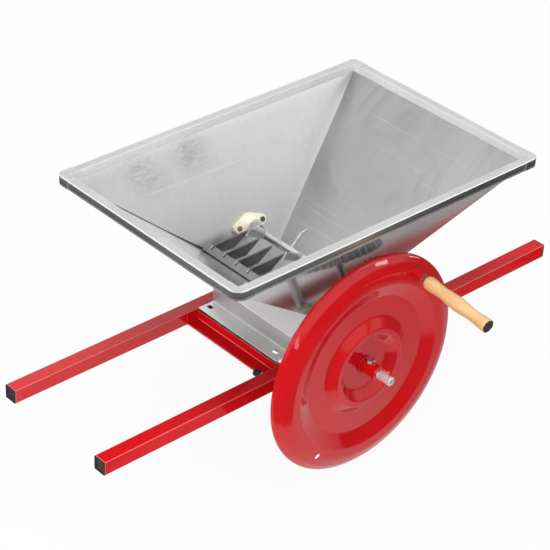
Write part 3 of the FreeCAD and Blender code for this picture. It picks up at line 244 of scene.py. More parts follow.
def sheetSteel(name, marks=None):
    sizes, texture = sheets[name], sheetGrain
    steel = Finish(name, Metallic=sizes["metal"])
    grain = steel.noise(texture["grain"], 3, 0.6, steel.mapped(sizes["grain"]))
    cloud = steel.noise(sizes["cloud"], 3, warp=0.5)
    spots = steel.noise(texture["grime"], 5, 0.65, steel.mapped(shift=texture["grimeShift"]), warp=0.8)
    grime = steel.level(spots, 0, sizes["grime"], *texture["grimeSpan"])
    scratch = 0
    for turn, shift in texture["hairTurns"]:
        where = steel.mapped(texture["hairStretch"], turn, shift)
        hair = (steel.noise(texture["hair"], 2, where=where, warp=0.2) - 0.5).size()
        scratch = steel.level(hair, sizes["scratch"], 0, 0, texture["hairWidth"]) + scratch
    dark, light = (grey(level) for level in sizes["shade"])
    base = steel.mix(steel.level(cloud, 0, 1, *texture["cloudSpan"]), dark, light)
    base = steel.tinted((grain - 0.5) * texture["tint"] + 1.0, base)
    base = steel.mix(grime, base, texture["grimeDark"])
    base = steel.mix(scratch.math("MINIMUM", texture["hairMost"]), base, texture["hairLight"])
    rough = steel.level(cloud, *sizes["rough"], *texture["cloudSpan"]) + grime * texture["grimeRough"]
    if marks:
        base, rough = marks(steel, base, rough)
    return steel.feed(Base_Color=base, Roughness=rough, Normal=steel.bump(grain, sizes["depth"], 0.0006))


# what the long walls carry: rubbed patches, a long scrape, a painted reflection lightening them near the fold
# at the right and below the top, and a dark seam at the left that is wider low down
sideMarks = {
    "foot": 0.108, "top": 0.356, "half": 0.380, "rightFoot": 0.052, "leftFoot": -0.070,
    "foldHighlight": 0.030, "lip": 0.020, "gleam": 0.4, "seam": (0.0055, 0.0016), "seamHeights": (0.165, 0.215),
    "seamEdge": 0.0012, "seamDepth": 0.85,
    "patches": ((-0.099, 0.236, 0.331), (-0.085, 0.229, 0.319), (-0.225, 0.233, 0.326),
                (-0.190, 0.223, 0.308)),
    "reach": 0.055, "strokes": 120, "strokeSpan": (0.42, 0.62), "rub": 0.32, "rubRough": 0.05,
    "scrape": ((-0.237, 0.211, 0.285), (0.064, 0.208, 0.280)), "scrapeWidth": (0.0004, 0.0022),
    "scrapeEnds": (0.02, 0.26, 0.31), "scrapeLight": 0.26, "gleamColour": grey(0.85), "dark": grey(0.03),
    "rubColour": grey(0.22), "scrapeColour": grey(0.88),
}


def sideDetail(steel, base, rough):
    m = sideMarks
    x, z = steel.axis(0), steel.axis(2)
    rise = (z - m["foot"]) * (1 / (m["top"] - m["foot"]))
    right = rise * (m["half"] - m["rightFoot"]) + m["rightFoot"]
    left = rise * (-m["half"] - m["leftFoot"]) + m["leftFoot"]
    # painted reflection: lighter near the right fold and just below the top
    foldHighlight = steel.level(right - x, 1, 0, 0, m["foldHighlight"]) ** 1.6
    lip = steel.level(z, 0, 1, m["top"] - m["lip"], m["top"]) ** 2.0
    base = steel.mix(foldHighlight.math("MAXIMUM", lip) * m["gleam"], base, m["gleamColour"])
    width = steel.level(z, *m["seam"], *m["seamHeights"])
    seam = steel.level(x - left - width, 1, 0, 0, m["seamEdge"])
    base = steel.mix(seam * m["seamDepth"], base, m["dark"])
    strokes = steel.noise(m["strokes"], 4, 0.7, steel.mapped((0.3, 1, 1), (0, -0.5, 0)), warp=1.2)
    patch = 0
    for place in m["patches"]:
        patch = steel.near(place, m["reach"], 0.95) + patch
    rubbed = (patch * steel.level(strokes, 0.1, 1, *m["strokeSpan"])).math("MINIMUM", 1.0)
    base = steel.mix(rubbed * m["rub"], base, m["rubColour"])
    start, end = (Vector(place) for place in m["scrape"])
    way = tuple((end - start).normalized())
    offset = steel.vector("SUBTRACT", steel.object, tuple(start))
    along = steel.vector("DOT_PRODUCT", offset, way, 1)
    first, fade, last = m["scrapeEnds"]
    inside = steel.level(along, 0, 1, 0, first) * steel.level(along, 1, 0, fade, last)
    aside = steel.vector("LENGTH", steel.vector("CROSS_PRODUCT", offset, way), out=1)
    line = steel.level(aside, 1, 0, *m["scrapeWidth"]) * inside
    return steel.mix(line * m["scrapeLight"], base, m["scrapeColour"]), rough + patch * m["rubRough"]


# the rims: a painted highlight along the outer edge on top, and on their sides a painted highlight on the
# rolled lip below a line of painted shade
rolled = {"lip": 0.3618, "line": 0.0011, "lipHighlight": 0.7, "shade": 0.8, "top": 0.3722, "half": (0.400, 0.270),
          "width": 0.0034, "soft": 0.7, "lipFade": 0.0003, "topFade": 0.0008, "lipRough": 0.12}


def rimDetail(steel, base, rough):
    m = rolled
    z = steel.axis(2)
    lip = steel.level(z, 1, 0, m["lip"] - m["lipFade"], m["lip"])
    # the lip is lightened as a painted highlight, and the line above it is darkened as painted shade
    line = steel.level((z - m["lip"] - m["line"]).size(), 1, 0, m["line"] * 0.4, m["line"])
    base = steel.mix(lip * m["lipHighlight"], base, grey(0.98))
    inset = [steel.axis(index).size() - half for index, half in enumerate(m["half"])]
    # a white band along the top's outer edge: painted highlight
    crest = steel.level(inset[0].math("MAXIMUM", inset[1]), 0, 1, -m["width"], -m["width"] * m["soft"])
    crest = crest * steel.level(z, 0, 1, m["top"] - m["topFade"], m["top"])
    base = steel.mix(crest, base, grey(1.0))
    return steel.mix(line * m["shade"], base, grey(0.05)), rough + lip * m["lipRough"]


# the left base plate: a painted highlight along the bend of its flange
bend = {"x": -0.115, "width": 0.0011, "light": 0.9}


def plateDetail(steel, base, rough):
    foldHighlight = steel.level((steel.axis(0) - bend["x"]).size(), 1, 0, bend["width"] * 0.5, bend["width"])
    return steel.mix(foldHighlight * bend["light"], base, grey(1.0)), rough


# what the end walls carry: wide arcs left by the polishing wheel
arcs = {"centres": ((0.55, 0.02, 0.02), (0.20, -0.30, 0.50)), "pitch": 34, "laneSpan": (0.38, 0.50),
        "patch": 9, "patchSpan": (0.48, 0.62), "depth": 0.22, "dark": grey(0.26)}


def endDetail(steel, base, rough):
    for place in arcs["centres"]:
        gap = steel.vector("DISTANCE", steel.object, place, 1) * arcs["pitch"]
        lane = steel.add("TexNoise", {"noise_dimensions": "1D"}, {"W": gap, "Scale": 1.0, "Detail": 5})
        patch = steel.noise(arcs["patch"], 2, where=steel.mapped(shift=place))
        patch = steel.level(patch, 0, arcs["depth"], *arcs["patchSpan"])
        base = steel.mix(steel.level(lane, 1, 0, *arcs["laneSpan"]) * patch, base, arcs["dark"])
    return base, rough


# a painted highlight on the eased edge of a bent or rolled sheet: near-white, partly diffuse steel, so it
# shows as a bright line
wearAndHighlight = {"shade": (0.8624, 0.98), "metal": 0.3, "rough": (0.14, 0.24), "patch": 35}


def highlightedEdge(name):
    steel = Finish(name, Metallic=wearAndHighlight["metal"])
    patch = steel.noise(wearAndHighlight["patch"], 3, 0.6)
    dark, light = (grey(level) for level in wearAndHighlight["shade"])
    return steel.feed(Base_Color=steel.mix(steel.level(patch, 0, 1, *noiseSpan), dark, light),
                      Roughness=steel.level(patch, *wearAndHighlight["rough"], *noiseSpan))


# bright bar and plated fasteners: fine turning marks, small dull patches
bars = {
    "brightBar": {"light": grey(0.80), "rough": 0.14, "way": (1, 6, 1)},
    "zincPlate": {"light": (0.74, 0.74, 0.73), "rough": 0.2, "way": (3, 3, 3)},
}
barGrain = {"rings": 400, "patch": 45, "patchSpan": (0.35, 0.7), "dull": 0.72, "spread": 0.12}


def turnedSteel(name):
    sizes, grain = bars[name], barGrain
    steel = Finish(name, Metallic=1.0)
    ring = steel.noise(grain["rings"], 2, where=steel.mapped(sizes["way"]))
    patch = steel.noise(grain["patch"], 3, 0.6)
    dark = tuple(grain["dull"] * channel for channel in sizes["light"])
    base = steel.mix(steel.level(patch, 0, 1, *grain["patchSpan"]), dark, sizes["light"])
    rough = steel.level(patch, sizes["rough"], sizes["rough"] + grain["spread"], *noiseSpan)
    return steel.feed(Base_Color=base, Roughness=rough, Normal=steel.bump(ring, 0.10, 0.0003))


# the main shaft: ringed by its turning, its keyed end pale
shaft = {"light": (0.95, 0.90, 0.93), "dark": (0.42, 0.38, 0.42), "rings": 70, "ringShare": 0.55,
         "shareSpan": (0.30, 0.62), "patch": 160, "rough": (0.24, 0.39), "metal": 0.45}


def shaftSteel(name):
    steel = Finish(name, Metallic=shaft["metal"])
    rings = steel.add("TexWave", {"bands_direction": "Y"}, {"Vector": steel.object, "Scale": shaft["rings"],
                                                           "Distortion": 1.5, "Detail": 2})
    rubbed = steel.noise(shaft["patch"], 3, 0.6, steel.mapped((1, 2.5, 1)))
    both = rings * shaft["ringShare"] + rubbed * (1 - shaft["ringShare"])
    share = steel.level(both, 0, 1, *shaft["shareSpan"])
    return steel.feed(Base_Color=steel.mix(share, shaft["dark"], shaft["light"]),
                      Roughness=steel.level(rubbed, *shaft["rough"], *noiseSpan),
                      Normal=steel.bump(rings, 0.15, 0.0003))


# dull steel: mottled, slightly oily
irons = {
    "dullSteel": {"dark": grey(0.30), "light": grey(0.46), "rough": 0.28, "metal": 0.9},
    "machinedIron": {"dark": grey(0.40), "light": grey(0.58), "rough": 0.26, "metal": 0.9},
    "weldBead": {"dark": grey(0.55), "light": grey(0.80), "rough": 0.18, "metal": 1.0},
    "paddleSheet": {"dark": grey(0.55), "light": grey(0.75), "rough": 0.24, "metal": 0.9},
    "cutEdge": {"dark": (0.07, 0.075, 0.08), "light": (0.16, 0.165, 0.17), "rough": 0.3, "metal": 0.9},
    # the comb's fins darker than its base: painted shade inside the throat
    "finSteel": {"dark": grey(0.15), "light": grey(0.30), "rough": 0.26, "metal": 0.9},
    # the bearing screws' right-hand faces in near-black: painted shade
    "darkScrew": {"dark": grey(0.05), "light": grey(0.14), "rough": 0.3, "metal": 0.9},
    "brownScrew": {"dark": (0.20, 0.12, 0.08), "light": (0.42, 0.30, 0.22), "rough": 0.35, "metal": 0.8},
}
ironGrain = {"blotch": 60, "pores": 300, "spread": 0.16}


def darkIron(name):
    sizes, grain = irons[name], ironGrain
    iron = Finish(name, Metallic=sizes["metal"])
    blotch = iron.noise(grain["blotch"], 5, 0.65, warp=0.5)
    base = iron.mix(iron.level(blotch, 0, 1, *noiseSpan), sizes["dark"], sizes["light"])
    rough = iron.level(blotch, sizes["rough"], sizes["rough"] + grain["spread"], *noiseSpan)
    pores = iron.noise(grain["pores"], 4, 0.6)
    return iron.feed(Base_Color=base, Roughness=rough, Normal=iron.bump(pores, 0.12, 0.0004))


# moulded plastic: a fine skin, its colour drifting a little, dusty where it is old
plastics = {
    "blackPlastic": {"colour": grey(0.018), "rough": 0.35, "skin": 0.2, "dust": 0.0},
    "creamNylon": {"colour": (0.97, 0.95, 0.79), "rough": 0.30, "skin": 0.05, "dust": 0.0},
    "speckledCap": {"colour": grey(0.02), "rough": 0.3, "skin": 0.3, "dust": 0.5},
}
plasticGrain = {"drift": 25, "tone": (0.92, 1.06), "dust": 330, "dustSpan": (0.5, 0.72), "sheen": 50,
                "skin": 500, "spread": 0.12, "dustColour": grey(0.45)}


def mouldedPlastic(name):
    sizes, grain = plastics[name], plasticGrain
    plastic = Finish(name, IOR=1.48, Specular_IOR_Level=0.3)
    tone = plastic.level(plastic.noise(grain["drift"], 3, 0.6), *grain["tone"], *noiseSpan)
    dust = plastic.level(plastic.noise(grain["dust"], 3, 0.7), 0, sizes["dust"], *grain["dustSpan"])
    base = plastic.mix(dust, plastic.tinted(tone, sizes["colour"]), grain["dustColour"])
    sheen = plastic.noise(grain["sheen"])
    rough = plastic.level(sheen, sizes["rough"], sizes["rough"] + grain["spread"], *noiseSpan)
    skin = plastic.noise(grain["skin"], 3, 0.6)
    return plastic.feed(Base_Color=base, Roughness=rough, Normal=plastic.bump(skin, sizes["skin"], 0.0004))


# beech turned along Y: long grain, short pore flecks, clear varnish
beech = {"dark": (0.66, 0.38, 0.155), "light": (0.84, 0.55, 0.27), "line": (0.66, 0.33, 0.12),
         "fleck": (0.58, 0.27, 0.09), "figure": 30, "figureSpan": (0.35, 0.66), "shift": (0.21, 0.0, 0.13),
         "fine": 190, "fineMost": 0.35, "fineSpan": (0.5, 0.75), "flecks": 460, "fleckMost": 0.4,
         "fleckSpan": (0.64, 0.72), "rough": (0.32, 0.45)}


def turnedWood(name):
    wood = Finish(name, Coat_Weight=0.7, Coat_Roughness=0.10, IOR=1.45)
    figure = wood.noise(beech["figure"], 4, 0.55, wood.mapped((1, 0.07, 1), shift=beech["shift"]), warp=1.0)
    fine = wood.noise(beech["fine"], 3, 0.6, wood.mapped((1, 0.04, 1)))
    pores = wood.noise(beech["flecks"], 2, where=wood.mapped((1, 0.08, 1)))
    base = wood.mix(wood.level(figure, 0, 1, *beech["figureSpan"]), beech["dark"], beech["light"])
    base = wood.mix(wood.level(fine, 0, beech["fineMost"], *beech["fineSpan"]), base, beech["line"])
    base = wood.mix(wood.level(pores, 0, beech["fleckMost"], *beech["fleckSpan"]), base, beech["fleck"])
    return wood.feed(Base_Color=base, Roughness=wood.level(figure, *beech["rough"], *noiseSpan),
                     Normal=wood.bump(fine, 0.12, 0.0004))


finishes = {
    "red_frame": redPaint("frameEnamel"),
    "red_wheel": redPaint("wheelEnamel"),
    "black_plastic": mouldedPlastic("blackPlastic"),
    "cream_nylon": mouldedPlastic("creamNylon"),
    "plate_steel": sheetSteel("plateSheet", plateDetail),
    "hopper_steel": sheetSteel("endWall", endDetail),
    "rim_steel": sheetSteel("rimSheet", rimDetail),
    "comb_steel": darkIron("dullSteel"),
    "shaft_steel": turnedSteel("brightBar"),
    "cast_steel": darkIron("machinedIron"),
    "zinc": turnedSteel("zincPlate"),
    "grip_wood": turnedWood("varnishedBeech"),
}
special = {
    "rearEnamel": redPaint("rearEnamel"),
    "sideWall": sheetSteel("sideWall", sideDetail),
    "capSheet": sheetSteel("capSheet", rimDetail),
    "shaftStub": shaftSteel("shaftStub"),
    "speckledCap": mouldedPlastic("speckledCap"),
}
for name in ("combWallSheet", "mirrorSheet", "rimInside", "riserSheet", "roofSheet"):
    special[name] = sheetSteel(name)
for name in ("weldBead", "paddleSheet", "cutEdge", "finSteel", "darkScrew", "brownScrew"):
    special[name] = darkIron(name)
# the eased edges take lighter finishes than their pieces: painted highlights along the edges
edgeFinish = {"red_frame": redPaint("frameEdge"), "plate_steel": highlightedEdge("bentEdge"),
              "rim_steel": highlightedEdge("rolledEdge")}
print("finishes made:", len(finishes) + len(special) + len(edgeFinish))


def placed(name, mesh):
    piece = bpy.data.objects.new(name, mesh)
    scene.collection.objects.link(piece)
    return piece


def carried(name, mesh, body, hides=()):
    piece = placed(name, mesh)
    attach(piece, body)
    if hides:
        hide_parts(*hides)
    return piece


def finished(name, mesh, body, slot, hides=(), material=None):
    mesh.materials.clear()
    mesh.materials.append(material or finishes[slot])
    return carried(name, mesh, body, hides)


def baked(source):
    # the evaluated object as a plain mesh, the object itself removed
    bpy.context.view_layer.update()
    graph = bpy.context.evaluated_depsgraph_get()
    mesh = bpy.data.meshes.new_from_object(source.evaluated_get(graph))
    bpy.data.objects.remove(source)
    return mesh


def shaded(work, angle):
    # smooth faces, with crisp edges past an angle
    for face in work.faces:
        face.smooth = True
    for edge in work.edges:
        edge.smooth = len(edge.link_faces) == 2 and edge.calc_face_angle(0) < math.radians(angle)


def smoothed(mesh, angle):
    work = bmesh.new()
    work.from_mesh(mesh)
    shaded(work, angle)
    work.to_mesh(mesh)
    work.free()


# how edges are eased: angles in degrees; a plate's short edges, round its slots, stay crisp
easing = {"merge": 1e-6, "flat": 0.6, "crisp": 32, "segments": 2, "shortest": 0.012, "weight": 50}


def dressed(label, width, material=None):
    # a CAD node again, its faces merged, its edges eased and its flat faces kept flat
    slot = slotOf[label]
    mesh = nodes[label].data.copy()
    work = bmesh.new()
    work.from_mesh(mesh)
    bmesh.ops.remove_doubles(work, verts=work.verts, dist=easing["merge"])
    flatAngle = math.radians(easing["flat"])
    bmesh.ops.dissolve_limit(work, angle_limit=flatAngle, verts=work.verts, edges=work.edges)
    shaded(work, easing["crisp"])
    weight = work.edges.layers.float.new("bevel_weight_edge")
    for edge in work.edges:
        short = slot == "plate_steel" and edge.calc_length() < easing["shortest"]
        edge[weight] = 0.0 if edge.smooth or short else 1.0
        edge.smooth = edge.smooth or not short
    work.to_mesh(mesh)
    work.free()
    mesh.materials.clear()
    mesh.materials.append(material or finishes[slot])
    if slot in edgeFinish:
        mesh.materials.append(edgeFinish[slot])
    holder = placed("holder", mesh)
    ease = holder.modifiers.new("ease", "BEVEL")
    ease.limit_method, ease.width, ease.segments = "WEIGHT", width, easing["segments"]
    ease.use_clamp_overlap = True
    ease.material = 1 if slot in edgeFinish else -1
    flat = holder.modifiers.new("flat", "WEIGHTED_NORMAL")
    flat.mode, flat.weight, flat.keep_sharp = "FACE_AREA", easing["weight"], True
    result = baked(holder)
    result.name = label
    return carried(f"{label}_dressed", result, bodyOf[label], (label,))


def arcPath(corners, radii, steps):
    # a polyline through corners, each inner corner rounded
    path = [Vector(corners[0])]
    for before, corner, after, radius in zip(corners, corners[1:], corners[2:], radii):
        before, corner, after = Vector(before), Vector(corner), Vector(after)
        arrive, leave = (corner - before).normalized(), (after - corner).normalized()
        turn = arrive.angle(leave)
        start = corner - arrive * radius * math.tan(turn / 2)
        centre = corner + (leave - arrive).normalized() * (radius / math.cos(turn / 2))
        sign = 1 if arrive.x * leave.y - arrive.y * leave.x > 0 else -1
        for step in range(steps + 1):
            path.append(centre + Matrix.Rotation(sign * turn * step / steps, 2) @ (start - centre))
    return path + [Vector(corners[-1])]


def densified(path, longest):
    result = [path[0]]
    for start, end in zip(path, path[1:]):
        count = max(1, math.ceil((end - start).length / longest))
        result += [start.lerp(end, step / count) for step in range(1, count + 1)]
    return result


def lathe(path, x, z, segments, closed=True):
    # turns a (radius, y) outline about an axis along Y
    mesh = bpy.data.meshes.new("lathe")
    work = bmesh.new()
    rings = []
    for index in range(segments):
        angle = 2 * math.pi * index / segments
        across, up = math.cos(angle), math.sin(angle)
        rings.append([work.verts.new((x + point.x * across, point.y, z + point.x * up)) for point in path])
    count = len(path)
    for index in range(segments):
        here, there = rings[index], rings[(index + 1) % segments]
        for step in range(count if closed else count - 1):
            after = (step + 1) % count
            work.faces.new((here[step], here[after], there[after], there[step]))
    bmesh.ops.remove_doubles(work, verts=work.verts, dist=1e-7)
    bmesh.ops.dissolve_degenerate(work, edges=work.edges, dist=1e-7)
    bmesh.ops.recalc_face_normals(work, faces=work.faces)
    work.to_mesh(mesh)
    work.free()
    return mesh


def drilled(mesh, x, z, radius, low, high):
    # takes a round hole along Y out of a mesh
    outline = [Vector((0, low)), Vector((radius, low)), Vector((radius, high)), Vector((0, high))]
    plug = placed("plug", lathe(outline, x, z, 48, False))
    holder = placed("holder", mesh)
    cut = holder.modifiers.new("cut", "BOOLEAN")
    cut.object, cut.solver = plug, "EXACT"
    result = baked(holder)
    bpy.data.objects.remove(plug)
    return result


# the pressed flywheel: one turned sheet for its rim and disc, its outline from the lip to the hub
wheel = {"x": -0.040, "z": 0.050, "radius": 0.239, "sheet": 0.0025, "lip": -0.241, "shoulderRing": 0.225,
         "shoulder": -0.258, "side": 0.8, "landEdge": 0.205, "face": -0.266, "land": 0.184, "floor": 0.152,
         "floorY": -0.252, "cone": 0.108, "crest": 0.081, "crestHalf": 0.006, "dish": 0.057, "dishY": -0.249,
         "hub": 0.015, "radii": (0.009, 0.024, 0.034, 0.009, 0.009, 0.008, 0.006, 0.006, 0.007),
         "longest": 0.008, "segments": 224, "ventRing": 0.204, "ventAngle": 231, "ventRadius": 0.0065,
         "crisp": 35}


def makeWheel(w):
    side = w["shoulder"] + (w["radius"] - w["shoulderRing"]) * w["side"]
    corners = [(w["radius"], w["lip"]), (w["radius"], side), (w["shoulderRing"], w["shoulder"]),
               (w["landEdge"], w["face"]), (w["land"], w["face"]), (w["floor"], w["floorY"]),
               (w["cone"], w["floorY"]), (w["crest"] + w["crestHalf"], w["face"]),
               (w["crest"] - w["crestHalf"], w["face"]), (w["dish"], w["dishY"]), (w["hub"], w["dishY"])]
    front = densified(arcPath(corners, w["radii"], 10), w["longest"])
    back = []
    for index, point in enumerate(front):
        way = (front[min(index + 1, len(front) - 1)] - front[max(index - 1, 0)]).normalized()
        back.append(point + Vector((way.y, -way.x)) * w["sheet"])
    mesh = lathe(front + back[::-1], w["x"], w["z"], w["segments"])
    angle = math.radians(w["ventAngle"])
    x = w["x"] + w["ventRing"] * math.cos(angle)
    z = w["z"] + w["ventRing"] * math.sin(angle)
    mesh = drilled(mesh, x, z, w["ventRadius"], w["face"] - 0.01, w["lip"])
    smoothed(mesh, w["crisp"])
    return finished("flywheel_pressing", mesh, "rotor", "red_wheel", ("flywheel_disc", "flywheel_rim"))


makeWheel(wheel)
print("flywheel made")

for label, slot in slotOf.items():
    nodes[label].data.materials.clear()
    nodes[label].data.materials.append(finishes[slot])

# how far each node's edges are eased, and the few that have a finish of their own
eased = {
    "front_rail": 0.0016, "rear_rail": 0.0016, "left_cross_angle": 0.0012, "right_cross_angle": 0.0012,
    "left_base_plate": 0.0015, "right_base_plate": 0.0015, "front_cheek": 0.0004, "rear_cheek": 0.0004,
    "right_throat_plate": 0.0005, "rim_front": 0.0020, "rim_rear": 0.0020, "rim_left": 0.0020,
    "rim_right": 0.0020, "rim_corner_caps": 0.0012, "comb_base": 0.0005, "comb_fins": 0.0004,
    "main_shaft": 0.0003, "rotor_drum": 0.0005, "rotor_knives": 0.0003, "main_bearing_front": 0.0006,
    "main_bearing_rear": 0.0006, "main_bearing_bolts": 0.0003, "shaft_collars": 0.0006, "pinion": 0.0003,
    "flywheel_hub": 0.0006, "hub_ring": 0.0012, "hub_clamp_bolt": 0.0006, "handle_boss": 0.0005,
    "handle_spindle": 0.0003, "spindle_nuts": 0.0006, "agitator_shaft": 0.0003, "agitator_paddles": 0.0006,
    "agitator_spikes": 0.0003, "agitator_hex_collars": 0.0006, "agitator_bearing_front": 0.0014,
    "agitator_bearing_rear": 0.0014, "agitator_bearing_screws": 0.0004, "agitator_gear": 0.0004,
    "gear_nut_washer": 0.0004, "handle_grip": 0.0010, "grip_cap": 0.0006, "rail_end_plugs": 0.0008,
    "stop_pad": 0.0012, "stop_bolt": 0.0008, "hopper_front_wall": 0.0003, "hopper_rear_wall": 0.0003,
    "hopper_left_wall": 0.0003, "hopper_right_wall": 0.0003,
}
own = {"rear_rail": "rearEnamel", "rim_corner_caps": "capSheet", "hopper_front_wall": "sideWall",
       "hopper_rear_wall": "sideWall", "hopper_left_wall": "combWallSheet", "comb_fins": "finSteel",
       "agitator_paddles": "paddleSheet", "agitator_bearing_screws": "brownScrew", "main_shaft": "shaftStub",
       "grip_cap": "speckledCap"}
pieces = {label: dressed(label, width, special.get(own.get(label))) for label, width in eased.items()}


def refaced(label, names, choose):
    # gives some faces of a piece another finish: choose(face) names it, or leaves the face as it is
    mesh = pieces[label].data
    for name in names:
        mesh.materials.append(special[name])
    for face in mesh.polygons:
        name = choose(face)
        if name:
            face.material_index = mesh.materials.find(name)


# a base plate's faces told apart: its bends by their area, and they take a bent edge's painted highlight, its
# cut edge by its height,
# the riser and the roof by their slopes: one steel, with painted shade on the riser and painted light on the
# roof
plateFaces = {"bend": 0.0006, "bendSlope": 0.1, "along": 0.2, "edgeTop": 0.0345, "upright": 0.9,
              "roof": (0.3, 0.97)}


def plateFinish(face):
    m = plateFaces
    low, high = m["roof"]
    if face.material_index:
        return None
    if face.area < m["bend"] and abs(face.normal.y) < m["along"] and m["bendSlope"] < face.normal.z < high:
        return "bentEdge"
    if abs(face.normal.x) > m["upright"]:
        return "cutEdge" if face.center.z < m["edgeTop"] else "riserSheet"
    return "roofSheet" if low < face.normal.z < high else None


for label in ("left_base_plate", "right_base_plate"):
    refaced(label, ("riserSheet", "roofSheet", "cutEdge"), plateFinish)
# the screws' faces on the right take painted shade
refaced("agitator_bearing_screws", ("darkScrew",), lambda face: "darkScrew" if face.center.x > 0 else None)

# the way that each wall's inside faces: its outside is polished, and the rim's inside is brighter, painted
# light that matches it to the wall below
inward = {"front": Vector((0, 1, 0.55)), "rear": Vector((0, -1, 0.55)), "left": Vector((1, 0, 1.25)),
          "right": Vector((-1, 0, 1.32))}
for side, way in inward.items():
    level = Vector((way.x, way.y, 0))
    refaced(f"hopper_{side}_wall", ("mirrorSheet",),
            lambda face: None if face.normal.dot(way) > 0 else "mirrorSheet")
    refaced(f"rim_{side}", ("rimInside",), lambda face: "rimInside" if face.normal.dot(level) > 0.9 else None)
print("nodes dressed:", len(pieces))


class Growth(Nodes):
    # a Geometry Nodes tree with named inputs
    def __init__(self, name):
        super().__init__(bpy.data.node_groups.new(name, "GeometryNodeTree"))
        self.tree.interface.new_socket("Geometry", in_out="OUTPUT", socket_type="NodeSocketGeometry")
        self.source = self.tree.nodes.new("NodeGroupInput")
        self.sink = self.tree.nodes.new("NodeGroupOutput")

    def input(self, name, kind):
        self.tree.interface.new_socket(name, in_out="INPUT", socket_type="NodeSocket" + kind)
        return Wire(self, self.source.outputs[name])

    def close(self, geometry, material):
        whole = self.add("GeometryNodeRealizeInstances", None, {0: geometry})
        painted = self.add("GeometryNodeSetMaterial", None, {"Geometry": whole, "Material": material})
        self.tree.links.new(painted.socket, self.sink.inputs[0])
        return self

    def grown(self, lines, **values):
        # the tree's result for these lines and inputs, as a plain mesh
        holder = placed("holder", lines)
        modifier = holder.modifiers.new("growth", "NODES")
        modifier.node_group = self.tree
        for item in self.tree.interface.items_tree:
            if item.in_out == "INPUT" and item.socket_type != "NodeSocketGeometry":
                modifier[item.identifier] = values[item.name]
        return baked(holder)


# a bead's turn in radians and its swell, each drawn between two limits
beadShape = {"turn": ((-0.6, -0.6, -0.6), (0.6, 0.6, 0.6)), "swell": ((0.75, 0.75, 0.75), (1.15, 1.05, 1.1))}


def weldTree():
    # beads strung along the edges of a mesh of lines
    tree = Growth("weldBeads")
    source = tree.input("Geometry", "Geometry")
    spacing, size = (tree.input(name, "Float") for name in ("spacing", "size"))
    seed = tree.input("seed", "Int")
    lines = tree.add("GeometryNodeMeshToCurve", None, {0: source})
    points = tree.add("GeometryNodeResampleCurve", {"mode": "LENGTH"}, {"Curve": lines, "Length": spacing})
    bead = tree.add("GeometryNodeMeshIcoSphere", None, {"Radius": size, "Subdivisions": 2})
    turn, swell = (tree.add("FunctionNodeRandomValue", {"data_type": "FLOAT_VECTOR"},
                            {0: low, 1: high, "Seed": seed}) for low, high in beadShape.values())
    row = tree.add("GeometryNodeInstanceOnPoints", None,
                   {"Points": points, "Instance": bead, "Rotation": turn, "Scale": swell})
    soft = tree.add("GeometryNodeSetShadeSmooth", None, {"Geometry": row})
    return tree.close(soft, tree.input("finish", "Material"))


def lined(paths):
    # open polylines as one mesh of edges
    mesh = bpy.data.meshes.new("lines")
    points, edges = [], []
    for path in paths:
        edges += [(len(points) + index, len(points) + index + 1) for index in range(len(path) - 1)]
        points += path
    mesh.from_pydata(points, edges, [])
    return mesh


def ringed(centre, radius, steps=24):
    x, y, z = centre
    turns = [2 * math.pi * index / steps for index in range(steps + 1)]
    return [(x + radius * math.cos(turn), y, z + radius * math.sin(turn)) for turn in turns]


# welds: the rails' joints and the hub under paint, the comb's feet and the agitator's blades bare
beads = {
    "frame": {"spacing": 0.0022, "size": 0.0017, "seed": 3, "x": (-0.180, -0.147, 0.089, 0.122), "y": 0.1255,
              "z": (0.002, 0.028)},
    "hub": {"spacing": 0.0022, "size": 0.0014, "seed": 5, "y": -0.2525, "radius": 0.0172},
    "comb": {"spacing": 0.0016, "size": 0.0015, "seed": 7, "pitch": 0.037, "low": (-0.1330, 0.1772),
             "high": (-0.1290, 0.1800)},
    "agitator": {"spacing": 0.0018, "size": 0.0015, "seed": 9, "x": -0.003, "z": 0.1668, "radius": 0.0092,
                 "y": (0.0893, 0.0957, -0.0153, -0.0217, -0.0893, -0.0957)},
}
weldBeads = weldTree()


def weld(name, body, slot, material, sizes, paths):
    mesh = weldBeads.grown(lined(paths), spacing=sizes["spacing"], size=sizes["size"], seed=sizes["seed"],
                           finish=material)
    return finished(name, mesh, body, slot, material=material)


def makeWelds():
    frameBead, hubBead, combBead, bladeBead = beads.values()
    low, high = frameBead["z"]
    joints = [[(x, side * frameBead["y"], low), (x, side * frameBead["y"], high)]
              for side in (-1, 1) for x in frameBead["x"]]
    hub = ringed((wheel["x"], hubBead["y"], wheel["z"]), hubBead["radius"])
    feet = [[(x, combBead["pitch"] * row, z) for x, z in (combBead["low"], combBead["high"])]
            for row in range(-3, 4)]
    blades = [ringed((bladeBead["x"], y, bladeBead["z"]), bladeBead["radius"]) for y in bladeBead["y"]]
    weld("frame_welds", "frame", "red_frame", finishes["red_frame"], frameBead, joints)
    weld("hub_weld", "rotor", "red_wheel", finishes["red_wheel"], hubBead, [hub])
    weld("comb_welds", "frame", "comb_steel", special["weldBead"], combBead, feet)
    weld("agitator_welds", "agitator", "comb_steel", special["weldBead"], bladeBead, blades)


makeWelds()
print("welds made")

view = {"place": (-2.36364, -2.46371, 2.35824), "turn": (0.98837034, -0.03895992, -0.72666971),
        "lens": 131.2094, "sensor": 36}


def makeCamera():
    eye = bpy.data.cameras.new("camera")
    eye.lens, eye.sensor_width, eye.clip_start, eye.clip_end = view["lens"], view["sensor"], 0.1, 100
    camera = bpy.data.objects.new("camera", eye)
    camera.location, camera.rotation_euler = view["place"], view["turn"]
    scene.collection.objects.link(camera)
    scene.camera = camera


